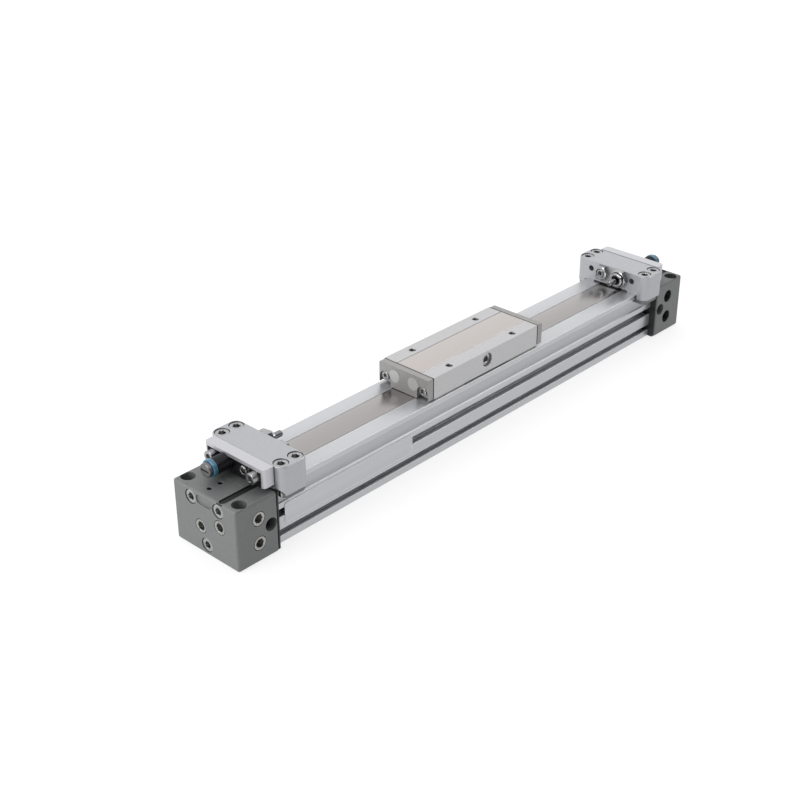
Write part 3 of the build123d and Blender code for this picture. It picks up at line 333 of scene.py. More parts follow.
def rounded(corners: Sequence[Pair], radii: Sequence[float], steps: int = 3) -> np.ndarray:
    """Closed outline whose corners are curves: (1-s)^2 A + 2 s (1-s) corner + s^2 B.

    A and B lie on the two sides, where a fillet of that radius would touch them.

    Args:
        corners: the outline's corners in order.
        radii: one fillet radius a corner; nought keeps it sharp.
        steps: pieces that a corner is cut into.

    Returns:
        n by 2 points.
    """
    least_slope, most_of_side, same_point = 1e-6, 0.48, 1e-4
    place = np.asarray(corners, float)
    back = np.roll(place, 1, axis=0) - place
    ahead = np.roll(place, -1, axis=0) - place
    back_length = np.linalg.norm(back, axis=1, keepdims=True)
    ahead_length = np.linalg.norm(ahead, axis=1, keepdims=True)
    back, ahead = back / back_length, ahead / ahead_length
    half = np.arccos(np.clip((back * ahead).sum(1), -1, 1))[:, None] / 2
    reach = np.asarray(radii, float)[:, None] / np.maximum(np.tan(half), least_slope)
    reach = np.minimum(reach, most_of_side * np.minimum(back_length, ahead_length))
    part = np.linspace(0, 1, steps + 1)[None, :, None]
    start, end = (place + back * reach)[:, None], (place + ahead * reach)[:, None]
    curve = (1 - part) ** 2 * start + 2 * part * (1 - part) * place[:, None] + part**2 * end
    points = curve.reshape(-1, 2)
    keep = np.linalg.norm(points - np.roll(points, 1, axis=0), axis=1) > same_point
    return points[keep]


def extruded(section: np.ndarray, start: float, end: float) -> Shell:
    """A closed section of Y and Z carried straight along X, with flat ends."""
    path = np.array([[start, 0.0, 0.0], [end, 0.0, 0.0]])
    return Shell.swept(section, path, np.array([[0, 0, 1.0], [0, 0, 1.0]]))


# Finishes


class Grain(Enum):
    """Which way a metal or plastic surface is marked, as stretch of its pattern along X, Y and Z."""

    EVEN = (1.0, 1.0, 1.0)
    DRAWN_ALONG = (0.015, 1.0, 1.0)
    GROUND_ACROSS = (1.0, 0.04, 1.0)


@dataclass(frozen=True)
class Recipe:
    """Numbers that the shader nodes of every finish share; a span is a start and an end."""

    coat_roughness: float = 0.15
    broad_times: int = 14
    fine_detail: float = 3.0
    broad_detail: float = 2.0
    fine_share: float = 0.45
    broad_share: float = 0.55
    mottle_span: Pair = (0.32, 0.68)
    grain_span: Pair = (0.3, 0.7)
    bump_strength: float = 0.6
    bevel_samples: int = 4
    # highlight_reach, highlight_span and highlight_colour shape the painted highlight along rounded edges.
    highlight_reach: float = 1.6
    highlight_span: Pair = (0.995, 0.93)
    highlight_colour: Colour = (0.94, 0.94, 0.95)
    # dark_box_colour: the colour inside a finish's dark box, painted shade on the tube and a darker groove on
    # the caps.
    dark_box_colour: Colour = (0.13, 0.13, 0.12)


SHARED = Recipe()


def feed(tree: Tree, node: bpy.types.Node, inputs: Sequence[Socket | float | Vec3]) -> None:
    """Link sockets to a node's inputs in order, and set the plain values on them.

    Args:
        tree: the nodes that the node belongs to.
        node: the node.
        inputs: what goes in, in order.
    """
    for socket, value in zip(node.inputs, inputs):
        if isinstance(value, Socket):
            tree.links.new(value, socket)
        else:
            socket.default_value = value


def calculated(tree: Tree, operation: str, *inputs: Socket | float) -> Socket:
    """Math node on sockets and plain numbers.

    Args:
        tree: the nodes to add to.
        operation: what the node works out, by Blender's name.
        inputs: what goes in, in order.

    Returns:
        The result.
    """
    node = tree.nodes.new("ShaderNodeMath")
    node.operation = operation
    feed(tree, node, inputs)
    return node.outputs[0]


def vector_node(tree: Tree, operation: str, *inputs: Socket | Vec3) -> bpy.types.Node:
    """Vector math node on sockets and plain vectors.

    Args:
        tree: the nodes to add to.
        operation: what the node works out, by Blender's name.
        inputs: what goes in, in order.

    Returns:
        The node, whose result is its vector or its value.
    """
    node = tree.nodes.new("ShaderNodeVectorMath")
    node.operation = operation
    feed(tree, node, inputs)
    return node


def spanned(tree: Tree, value: Socket, span: Pair, result: Pair) -> Socket:
    """A value's way through one span, as the same way through another, held at both ends.

    Args:
        tree: the nodes to add to.
        value: the value.
        span: its start and end.
        result: what start and end become.

    Returns:
        The result.
    """
    node = tree.nodes.new("ShaderNodeMapRange")
    node.inputs["From Min"].default_value, node.inputs["From Max"].default_value = span
    node.inputs["To Min"].default_value, node.inputs["To Max"].default_value = result
    tree.links.new(value, node.inputs["Value"])
    return node.outputs["Result"]


def mixed(tree: Tree, share: Socket, under: Socket, over: Colour) -> Socket:
    """Colour that goes over to a plain one by a share.

    Args:
        tree: the nodes to add to.
        share: how much of the plain colour shows, 0 to 1.
        under: the colour beneath.
        over: the plain colour, in linear light.

    Returns:
        The mixed colour.
    """
    node = tree.nodes.new("ShaderNodeMix")
    node.data_type = "RGBA"
    node.inputs["B"].default_value = (*over, 1)
    tree.links.new(share, node.inputs["Factor"])
    tree.links.new(under, node.inputs["A"])
    return node.outputs["Result"]


def eased(tree: Tree, radius: float) -> Socket:
    """Normal that is rounded over the edges.

    Args:
        tree: the nodes to add to.
        radius: how far from an edge, in millimetres.

    Returns:
        The normal.
    """
    node = tree.nodes.new("ShaderNodeBevel")
    node.samples = SHARED.bevel_samples
    node.inputs["Radius"].default_value = radius * MM
    return node.outputs["Normal"]


@dataclass(frozen=True)
class Finish:
    """One surface finish, built from shader nodes that read Object coordinates."""

    name: str
    colour: Colour
    metallic: float = 1.0
    roughness: float = 0.35
    grain: Grain = Grain.EVEN
    grain_size: float = 0.4
    mottle: float = 0.05
    rough_change: float = 0.06
    relief: float = 0.01
    edge_radius: float = 0.2
    # edge_highlight: strength of the painted highlight along the edges.
    edge_highlight: float = 0.0
    coat: float = 0.0
    # dark_box: middle and half size of a box coloured darker, in millimetres.
    dark_box: tuple[Vec3, Vec3] | None = None

    def build(self) -> bpy.types.Material:
        """Make the material: mottled colour, streaked roughness, fine relief, softened edges, a painted
        highlight along the edges and a darker box, where the finish has them.

        Returns:
            The Blender material.
        """
        material = bpy.data.materials.new(self.name)
        material.use_nodes = True
        tree = material.node_tree
        shader = tree.nodes["Principled BSDF"]
        shader.inputs["Metallic"].default_value = self.metallic
        shader.inputs["Coat Weight"].default_value = self.coat
        shader.inputs["Coat Roughness"].default_value = SHARED.coat_roughness
        place = tree.nodes.new("ShaderNodeTexCoord").outputs["Object"]
        fine = self._noise(tree, place, self.grain_size, SHARED.fine_detail)
        broad = self._noise(tree, place, self.grain_size * SHARED.broad_times, SHARED.broad_detail)
        shade = self._base(tree, broad, fine)
        # Painted highlight on the edges, then the darker box: painted shade on the tube, a darker groove on
        # the caps.
        shade = self._painted_edge_highlight(tree, shader, shade)
        shade = self._darkened(tree, place, shade)
        tree.links.new(shade, shader.inputs["Base Color"])
        tree.links.new(self._roughness(tree, fine), shader.inputs["Roughness"])
        tree.links.new(self._relief(tree, fine), shader.inputs["Normal"])
        material.diffuse_color = (*linear(self.colour), 1.0)
        return material

    def _noise(self, tree: Tree, place: Socket, size: float, detail: float) -> Socket:
        """Noise stretched by the grain.

        Args:
            tree: the material's nodes.
            place: Object coordinates.
            size: how large its pattern is, in millimetres.
            detail: how many finer layers lie over it.

        Returns:
            The noise, about a half in the middle.
        """
        mapping = tree.nodes.new("ShaderNodeMapping")
        mapping.inputs["Scale"].default_value = self.grain.value
        noise = tree.nodes.new("ShaderNodeTexNoise")
        noise.inputs["Scale"].default_value = 1 / (size * MM)
        noise.inputs["Detail"].default_value = detail
        tree.links.new(place, mapping.inputs["Vector"])
        tree.links.new(mapping.outputs["Vector"], noise.inputs["Vector"])
        return noise.outputs["Fac"]

    def _base(self, tree: Tree, broad: Socket, fine: Socket) -> Socket:
        """Base colour that drifts a little lighter and darker over the surface.

        Args:
            tree: the material's nodes.
            broad: the broad noise.
            fine: the fine noise.

        Returns:
            The colour.
        """
        drift = calculated(tree, "MULTIPLY", broad, SHARED.broad_share)
        drift = calculated(tree, "MULTIPLY_ADD", fine, SHARED.fine_share, drift)
        ramp = tree.nodes.new("ShaderNodeValToRGB")
        light = linear(self.colour)
        for element, position, way in zip(ramp.color_ramp.elements, SHARED.mottle_span, (-1, 1)):
            element.position = position
            element.color = (*[min(1, part * (1 + way * self.mottle)) for part in light], 1)
        tree.links.new(drift, ramp.inputs["Fac"])
        return ramp.outputs["Color"]

    def _painted_edge_highlight(self, tree: Tree, shader: bpy.types.Node, shade: Socket) -> Socket:
        """Painted highlight on edges: where the rounded normal leaves the true one, lighter and less like a
        mirror.

        Args:
            tree: the material's nodes.
            shader: the surface shader, whose Metallic falls where the highlight is painted.
            shade: the colour so far.

        Returns:
            The colour with its edges.
        """
        if self.edge_highlight <= 0:
            return shade
        true = tree.nodes.new("ShaderNodeNewGeometry").outputs["Normal"]
        dot = vector_node(tree, "DOT_PRODUCT", eased(tree, self.edge_radius * SHARED.highlight_reach), true)
        highlight_share = spanned(tree, dot.outputs["Value"], SHARED.highlight_span, (0.0, self.edge_highlight))
        dull = calculated(tree, "MULTIPLY_ADD", highlight_share, -self.metallic, self.metallic)
        tree.links.new(dull, shader.inputs["Metallic"])
        return mixed(tree, highlight_share, shade, SHARED.highlight_colour)

    def _darkened(self, tree: Tree, place: Socket, shade: Socket) -> Socket:
        """Darker colour inside one box given in millimetres: 1 where |place - middle| < half size. On the
        tube it is painted shade in the recess under the steel band; on the caps it darkens the top groove.

        Args:
            tree: the material's nodes.
            place: Object coordinates.
            shade: the colour so far.

        Returns:
            The colour with the darker box, if the finish has one.
        """
        if self.dark_box is None:
            return shade
        middle, half = self.dark_box
        away = vector_node(tree, "SUBTRACT", place, tuple(part * MM for part in middle))
        size = vector_node(tree, "ABSOLUTE", away.outputs[0])
        split = tree.nodes.new("ShaderNodeSeparateXYZ")
        tree.links.new(size.outputs[0], split.inputs[0])
        within = [
            calculated(tree, "LESS_THAN", split.outputs[axis], reach * MM) for axis, reach in zip("XYZ", half)
        ]
        inside = calculated(tree, "MULTIPLY", within[0], within[1])
        inside = calculated(tree, "MULTIPLY", inside, within[2])
        return mixed(tree, inside, shade, linear(SHARED.dark_box_colour))

    def _roughness(self, tree: Tree, fine: Socket) -> Socket:
        """Roughness that follows the grain between two values."""
        ends = (self.roughness - self.rough_change, self.roughness + self.rough_change)
        return spanned(tree, fine, SHARED.grain_span, ends)

    def _relief(self, tree: Tree, fine: Socket) -> Socket:
        """Fine bumps over a normal that is rounded at the edges.

        Args:
            tree: the material's nodes.
            fine: the fine noise.

        Returns:
            The normal.
        """
        bump = tree.nodes.new("ShaderNodeBump")
        bump.inputs["Strength"].default_value = SHARED.bump_strength
        bump.inputs["Distance"].default_value = self.relief * MM
        tree.links.new(fine, bump.inputs["Height"])
        if self.edge_radius > 0:
            tree.links.new(eased(tree, self.edge_radius), bump.inputs["Normal"])
        return bump.outputs["Normal"]


class Surface(Enum):
    """Every finish of the cylinder, by the part of it that wears it."""

    # The tube's edge_highlight paints highlights on its rounded lips; its dark box paints shade in the recess
    # under the steel band.
    TUBE = Finish(
        "tube_clear_anodised", (0.735, 0.74, 0.75), 0.72, 0.36, Grain.DRAWN_ALONG, 0.35,
        mottle=0.035, rough_change=0.07, relief=0.012, edge_radius=0.42, edge_highlight=1.0,
        dark_box=((0.0, 0.0, 37.7), (500.0, 9.62, 0.42)),
    )
    # The cap's edge_highlight paints a faint highlight on its edges; its dark box darkens the groove in its
    # top.
    CAP = Finish(
        "cap_grey_cast", (0.43, 0.435, 0.435), 0.3, 0.5, Grain.EVEN, 0.22,
        mottle=0.05, rough_change=0.06, relief=0.012, edge_radius=0.35, edge_highlight=0.10,
        dark_box=((0.0, -12.5, 38.0), (500.0, 2.3, 0.35)),
    )
    TABLE = Finish(
        "table_blasted", (0.72, 0.72, 0.725), 0.7, 0.42, Grain.EVEN, 0.16,
        mottle=0.05, rough_change=0.05, relief=0.012, edge_radius=0.25,
    )
    END_PLATE = Finish(
        "end_plate_satin", (0.58, 0.575, 0.57), 0.6, 0.42, Grain.EVEN, 0.18,
        mottle=0.05, rough_change=0.05, relief=0.008, edge_radius=0.25,
    )
    BLOCK = Finish(
        "adjuster_silver", (0.655, 0.66, 0.675), 0.7, 0.36, Grain.EVEN, 0.18,
        mottle=0.04, rough_change=0.05, relief=0.008, edge_radius=0.25,
    )
    COVER = Finish(
        "cover_brushed", (0.715, 0.69, 0.68), 0.85, 0.34, Grain.DRAWN_ALONG, 0.12,
        mottle=0.012, rough_change=0.03, relief=0.006, edge_radius=0.1,
    )
    BAND = Finish(
        "band_rolled_steel", (0.605, 0.595, 0.59), 0.95, 0.24, Grain.DRAWN_ALONG, 0.12,
        mottle=0.012, rough_change=0.03, relief=0.004, edge_radius=0.0,
    )
    PLATED = Finish(
        "plated_steel", (0.63, 0.63, 0.635), 1.0, 0.2, Grain.EVEN, 0.25,
        mottle=0.06, rough_change=0.07, relief=0.006, edge_radius=0.0,
    )
    CHROME = Finish(
        "rod_hard_chrome", (0.52, 0.52, 0.53), 1.0, 0.13, Grain.DRAWN_ALONG, 0.3,
        mottle=0.02, rough_change=0.03, relief=0.001, edge_radius=0.0,
    )
    BLACK = Finish(
        "black_oxide", (0.15, 0.15, 0.165), 0.7, 0.34, Grain.EVEN, 0.2,
        mottle=0.15, rough_change=0.08, relief=0.006, edge_radius=0.12,
    )
    RING = Finish(
        "ring_blue", (0.23, 0.43, 0.53), 0.15, 0.34, Grain.EVEN, 0.3,
        mottle=0.08, rough_change=0.06, relief=0.004, edge_radius=0.0, coat=0.3,
    )
    ADJUSTER_COVER = Finish(
        "adjuster_cover_rolled", (0.735, 0.735, 0.75), 0.7, 0.36, Grain.DRAWN_ALONG, 0.15,
        mottle=0.02, rough_change=0.04, relief=0.004, edge_radius=0.15,
    )
    # Darker than the block: painted shade on the adjuster clamps and inside the table's threaded holes.
    PAINTED_SHADE_GREY = Finish(
        "clamp_and_hole_painted_shade", (0.44, 0.44, 0.445), 0.6, 0.45, Grain.EVEN, 0.2,
        mottle=0.08, rough_change=0.06, relief=0.008, edge_radius=0.15,
    )
    ABSORBER_END = Finish(
        "absorber_end_dull", (0.45, 0.45, 0.45), 0.85, 0.36, Grain.EVEN, 0.2,
        mottle=0.08, rough_change=0.08, relief=0.006, edge_radius=0.0,
    )
    PLUG = Finish(
        "plug_steel", (0.62, 0.62, 0.61), 0.95, 0.27, Grain.EVEN, 0.22,
        mottle=0.08, rough_change=0.08, relief=0.006, edge_radius=0.0,
    )
    GASKET = Finish(
        "gasket_black", (0.12, 0.125, 0.125), 0.0, 0.55, Grain.EVEN, 0.3,
        mottle=0.15, rough_change=0.08, relief=0.01, edge_radius=0.1,
    )
    RUBBER = Finish(
        "seal_rubber", (0.10, 0.10, 0.10), 0.0, 0.65, Grain.EVEN, 0.3,
        mottle=0.2, rough_change=0.08, relief=0.012, edge_radius=0.1,
    )
    RESIN = Finish(
        "bearing_resin", (0.80, 0.79, 0.74), 0.0, 0.45, Grain.EVEN, 0.3,
        mottle=0.05, rough_change=0.06, relief=0.006, edge_radius=0.1,
    )
    BAND_RESIN = Finish(
        "seal_band_resin", (0.22, 0.22, 0.23), 0.0, 0.5, Grain.DRAWN_ALONG, 0.3,
        mottle=0.08, rough_change=0.06, relief=0.006, edge_radius=0.0,
    )
    MAGNET = Finish(
        "magnet_dark", (0.20, 0.20, 0.21), 0.2, 0.5, Grain.EVEN, 0.25,
        mottle=0.15, rough_change=0.08, relief=0.012, edge_radius=0.1,
    )
    INNER = Finish(
        "inner_aluminium", (0.78, 0.78, 0.79), 0.9, 0.33, Grain.GROUND_ACROSS, 0.3,
        mottle=0.05, rough_change=0.07, relief=0.008, edge_radius=0.15,
    )
    PAD = Finish(
        "stop_pad_ground", (0.69, 0.69, 0.685), 0.6, 0.42, Grain.EVEN, 0.3,
        mottle=0.05, rough_change=0.06, relief=0.003, edge_radius=0.1,
    )


class Paintbox:
    """Builds each finish once and hands it out."""

    def __init__(self) -> None:
        """Start with no material made."""
        self._made: dict[Surface, bpy.types.Material] = {}

    def take(self, surface: Surface) -> bpy.types.Material:
        """The material of a finish, made on first use.

        Args:
            surface: the finish.

        Returns:
            Its material.
        """
        if surface not in self._made:
            self._made[surface] = surface.value.build()
        return self._made[surface]


# Workshop that puts shells in the scene


class Workshop:
    """Turns shells into pieces of the scene, dressed, riding on their body and standing for nodes."""

    def __init__(self, frame: dict, paint: Paintbox) -> None:
        """Keep the frame's nodes, their material slots and the paints.

        Args:
            paint: the finishes.
        """
        self.nodes = frame["nodes"]
        self.paint = paint
        self.slots = {name: node.data.materials[0].name for name, node in self.nodes.items()}
        self.bodies = {name: node["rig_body"] for name, node in self.nodes.items()}

    def _dressed(self, name: str, shell: Shell, surface: Surface) -> bpy.types.Object:
        """Put a shell in the scene with its finish.

        Args:
            name: the piece's name.
            shell: its surface.
            surface: its finish.

        Returns:
            The object.
        """
        piece = bpy.data.objects.new(name, shell.mesh(name))
        bpy.context.scene.collection.objects.link(piece)
        piece.data.materials.append(self.paint.take(surface))
        return piece

    def fit(self, name: str, shell: Shell, surface: Surface, *stands_for: str) -> bpy.types.Object:
        """A rigid piece that stands for nodes and rides on their body.

        Args:
            name: the piece's name.
            shell: its surface.
            surface: its finish.
            stands_for: the nodes that it replaces.

        Returns:
            The object.
        """
        piece = self._dressed(name, shell, surface)
        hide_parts(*stands_for)
        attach(piece, self.bodies[stands_for[0]])
        LOG.info("%s: %d faces on %s", name, len(piece.data.polygons), self.bodies[stands_for[0]])
        return piece

    def add(self, name: str, shell: Shell, surface: Surface, beside: str) -> bpy.types.Object:
        """A rigid extra piece that rides on a node's body.

        Args:
            name: the piece's name.
            shell: its surface.
            surface: its finish.
            beside: the node.

        Returns:
            The object.
        """
        piece = self._dressed(name, shell, surface)
        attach(piece, self.bodies[beside])
        LOG.info("%s: %d faces beside %s", name, len(piece.data.polygons), beside)
        return piece

    def stretch(
        self,
        name: str,
        shell: Shell,
        surface: Surface,
        node: str,
        first: tuple[str, float],
        last: tuple[str, float],
    ) -> bpy.types.Object:
        """A band that replaces a node, baked where it lies and tied to no body.

        Args:
            name: the piece's name.
            shell: its surface.
            surface: its finish.
            node: the node that it replaces.
            first: body and X in millimetres; only the body's name is read, for the log line.
            last: body and X in millimetres; only the body's name is read, for the log line.

        Returns:
            The object.
        """
        piece = self._dressed(name, shell, surface)
        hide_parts(node)
        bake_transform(piece)
        LOG.info("%s: %d faces between %s and %s", name, len(piece.data.polygons), first[0], last[0])
        return piece

    def dress(self, surface: Surface, *names: str) -> None:
        """Give carried-over nodes their finish.

        Args:
            surface: the finish.
            names: the nodes.
        """
        for name in names:
            self.nodes[name].data.materials[0] = self.paint.take(surface)
            LOG.info("%s: dressed in %s", name, surface.value.name)


# Fasteners


@dataclass(frozen=True)
class SocketScrew:
    """Socket head screw with a knurled head: the head's top at Z = 0 and the shank below."""

    radius: float
    reach: float
    head_radius: float
    head_height: float
    key: float
    knurls: int = 24
    points_a_knurl: int = 4
    knurl_depth: float = 0.028
    knurl_top: Pair = (0.1, 0.3)
    knurl_foot: Pair = (0.45, 0.25)
    edge_share: float = 0.09
    socket_share: float = 0.55
    drill_share: float = 0.2
    mouth_share: float = 0.08
    mouth_spread: float = 1.03
    foot_share: float = 0.97
    neck: float = 0.01
    tip_cut: float = 0.4
    shank_rows: int = 5

    def _socket(self, theta: np.ndarray) -> np.ndarray:
        """Radius of the key's hexagon at each angle."""
        return flats(theta, self.key)

    def _knurl(self, theta: np.ndarray) -> np.ndarray:
        """Radius of the knurled side: radius * (1 - depth * (1 - cos(count * angle)) / 2)."""
        return self.head_radius * (1 - self.knurl_depth * (1 - np.cos(self.knurls * theta)) / 2)

    def shell(self) -> Shell:
        """Turned profile from the socket's floor over the head and down the plain shank.

        Returns:
            The closed screw.
        """
        edge = self.head_height * self.edge_share
        floor = -self.head_height * self.socket_share
        seat = -self.head_height
        tip = seat - self.reach
        shank = np.linspace(seat - self.neck, tip + self.tip_cut, self.shank_rows)
        rows = [
            (0.0, floor - self.key * self.drill_share),
            (self._socket, floor),
            (self._socket, -self.key * self.mouth_share),
            (self.key / math.sqrt(3) * self.mouth_spread, 0.0),
            *round_over(self.head_radius, 0.0, edge, True),
            (self.head_radius, -edge - self.knurl_top[0]),
            (self._knurl, -edge - self.knurl_top[1]),
            (self._knurl, seat + self.knurl_foot[0]),
            (self.head_radius, seat + self.knurl_foot[1]),
            (self.head_radius * self.foot_share, seat),
            (self.radius, seat),
            *[(self.radius, float(height)) for height in shank],
            (self.radius - self.tip_cut, tip),
            (0.0, tip),
        ]
        return Shell.grid(rows_grid(rows, self.knurls * self.points_a_knurl))


@dataclass(frozen=True)
class HexNut:
    """Hexagon nut with both faces chamfered and a plain bore, its seat at Z = 0."""

    across: float
    thickness: float
    bore: float
    bore_rows: int
    sides: int = 72
    slope: float = 0.55
    circle_share: float = 0.97
    chamfer_rows: int = 5
    chamfer_over: float = 1.3
    lead: float = 0.35

    def _rim(self, cut: float) -> Callable[[np.ndarray], np.ndarray]:
        """Radius at a depth below a face: the hexagon, or the chamfer's cone where that is less."""
        limit = self.across / 2 * self.circle_share + cut / self.slope
        return lambda theta: np.minimum(flats(theta, self.across), limit)

    def shell(self) -> Shell:
        """Closed ring: the hexagon is cut back by a cone to the chamfer circle at both faces.

        Returns:
            The nut, with two flats upright.
        """
        rise = self.slope * (self.across / math.sqrt(3) - self.across / 2)
        levels = np.linspace(0.0, 1.0, self.chamfer_rows) * rise * self.chamfer_over
        bore = np.linspace(self.lead, self.thickness - self.lead, self.bore_rows)[::-1]
        rows = [
            *[(self._rim(float(cut)), float(cut)) for cut in levels],
            *[(self._rim(float(cut)), self.thickness - float(cut)) for cut in levels[::-1]],
            (self.bore + self.lead, self.thickness),
            *[(self.bore, float(height)) for height in bore],
            (self.bore + self.lead, 0.0),
        ]
        return Shell.grid(rows_grid(rows, self.sides), loop=True)


@dataclass(frozen=True)
class SocketPlug:
    """Flush port plug with a chamfered rim and a hexagon socket, its outer face at Z = 0."""

    radius: float = 4.45
    length: float = 7.0
    key: float = 5.0
    sides: int = 72
    socket_share: float = 0.6
    drill: float = 0.8
    mouth: float = 0.3
    mouth_spread: float = 1.04
    sunk: float = 0.02
    rim: float = 0.35
    rim_round: float = 0.15
    rim_rows: int = 2
    step: float = 0.3
    edge: float = 0.5
    run_in: Pair = (0.25, 0.26)
    thread_depth: float = 0.25
    pitch: float = 0.9
    run_out: float = 0.3
    tip_cut: float = 0.4

    def _socket(self, theta: np.ndarray) -> np.ndarray:
        """Radius of the key's hexagon at each angle."""
        return flats(theta, self.key)

    def shell(self) -> Shell:
        """Turned profile from the socket's floor over the face and down the thread.

        Returns:
            The closed plug.
        """
        rows = [
            (0.0, -self.length * self.socket_share - self.drill),
            (self._socket, -self.length * self.socket_share),
            (self._socket, -self.mouth),
            (self.key / math.sqrt(3) * self.mouth_spread, -self.sunk),
            *round_over(self.radius - self.rim, -self.sunk, self.rim_round, True, self.rim_rows),
            (self.radius - self.step, -self.edge),
            (self.radius, -self.edge - self.run_in[0]),
        ]
        face = rows_grid(rows, self.sides)
        low, high = -self.length + self.run_out, -self.edge - self.run_in[1]
        thread = threaded(self.radius, self.thread_depth, self.pitch, low, high, self.sides)[::-1]
        end = rows_grid([(self.radius - self.tip_cut, -self.length), (0.0, -self.length)], self.sides)
        return Shell.grid(np.vstack([face, thread, end]))


def hole_thread(radius: float, depth: float, pitch: float, ridge: float, mouth: float) -> Shell:
    """Cut thread inside a round hole: a thin sleeve whose inner face carries the ridges.

    Args:
        radius: the hole's radius.
        depth: how deep the thread goes.
        pitch: advance in one turn.
        ridge: ridge height.
        mouth: plain length below the hole's mouth.

    Returns:
        The closed sleeve, its mouth towards +Z at Z = 0.
    """
    sides, clear, wall = 48, 0.01, 0.03
    outside = radius - clear
    inner = threaded(outside - wall, ridge, pitch, -depth, -mouth, sides)
    outer = rows_grid([(outside, -mouth), (outside, -depth)], sides)
    return Shell.grid(np.vstack([inner, outer]), loop=True)


# Sub-assemblies


@dataclass
class TubeAssembly:
    """The extruded tube with its blank plate, bands and inner parts."""

    workshop: Workshop
    half_width: float = 21.0
    height: float = 38.2
    half_length: float = 179.5
    bore_radius: float = 12.5
    bore_height: float = 22.3
    slot_half: float = 3.2
    seat_half: float = 4.7
    seat_height: float = 35.2
    recess_half: float = 9.5
    recess_floor: float = 37.85
    lip_underside: float = 34.9
    lip_root: float = 17.6
    ledge: Pair = (25.8, 26.2)
    ledge_step: float = 0.7
    slots: tuple[tuple[float, float, float], ...] = ((6.7, 4.0, 7.0), (19.5, 5.0, 7.0))
    slot_lip: float = 1.4
    slot_depth: float = 5.0
    foot_fillet: float = 0.5
    mouth_fillet: float = 0.3
    lip_fillet: float = 0.15
    slot_fillet: float = 0.5
    ledge_fillets: Pair = (0.35, 0.3)
    root_fillet: float = 0.8
    edge_fillets: Pair = (0.35, 0.5)
    recess_fillets: Pair = (0.12, 0.05)
    neck_fillet: float = 0.2
    seat_fillet: float = 0.1
    bore_points: int = 40

    def _slot(self, middle: float, mouth: float, head: float) -> list[tuple[float, float, float]]:
        """Corners of one side slot, from its lower lip to its upper one.

        Args:
            middle: height of its middle.
            mouth: height of its opening.
            head: height of the room behind the lips.

        Returns:
            Y, Z and fillet radius of each corner.
        """
        edge, inner = self.half_width, self.half_width - self.slot_lip
        back = self.half_width - self.slot_depth
        low, high = middle - mouth / 2, middle + mouth / 2
        floor, roof = middle - head / 2, middle + head / 2
        return [
            (edge, low, self.mouth_fillet),
            (inner, low, self.lip_fillet),
            (inner, floor, self.lip_fillet),
            (back, floor, self.slot_fillet),
            (back, roof, self.slot_fillet),
            (inner, roof, self.lip_fillet),
            (inner, high, self.lip_fillet),
            (edge, high, self.mouth_fillet),
        ]

    def _side(self) -> list[tuple[float, float, float]]:
        """Corners of the +Y half of the section, from the bottom's middle to the bore's bottom.

        The bore is an arc: radius times sine and cosine of the angle from its top.

        Returns:
            Y, Z and fillet radius of each corner.
        """
        edge = self.half_width
        corners = [(0.0, 0.0, 0.0), (edge, 0.0, self.foot_fillet)]
        for slot in self.slots:
            corners += self._slot(*slot)
        corners += [
            (edge, self.ledge[0], self.ledge_fillets[0]),
            (edge - self.ledge_step, self.ledge[1], self.ledge_fillets[1]),
            (self.lip_root, self.lip_underside, self.root_fillet),
            (edge, self.lip_underside, self.edge_fillets[0]),
            (edge, self.height, self.edge_fillets[1]),
            (self.recess_half, self.height, self.recess_fillets[0]),
            (self.recess_half, self.recess_floor, self.recess_fillets[1]),
            (self.slot_half, self.recess_floor, self.neck_fillet),
            (self.slot_half, self.seat_height, self.seat_fillet),
            (self.seat_half, self.seat_height, self.seat_fillet),
        ]
        start = math.asin(self.seat_half / self.bore_radius)
        angle = np.linspace(start, math.pi, self.bore_points)
        across = self.bore_radius * np.sin(angle)
        up = self.bore_height + self.bore_radius * np.cos(angle)
        return corners + [(float(y), float(z), 0.0) for y, z in zip(across, up)]

    def _section(self) -> np.ndarray:
        """The whole section: one side, then its mirror image back to the bottom's middle.

        Returns:
            n by 2 points of Y and Z.
        """
        side = self._side()
        whole = side + [(-y, z, radius) for y, z, radius in side[-2:0:-1]]
        return rounded([corner[:2] for corner in whole], [corner[2] for corner in whole])

    def build(self) -> None:
        """Make the tube and dress the plate, gaskets and what lies in the bore."""
        shop = self.workshop
        shop.fit(
            "tube_extrusion",
            extruded(self._section(), -self.half_length, self.half_length),
            Surface.TUBE,
            "tube",
        )
        shop.dress(Surface.TUBE, "label_plate")
        shop.dress(Surface.GASKET, "cap_gaskets")
        shop.dress(Surface.INNER, "cushion_spears")


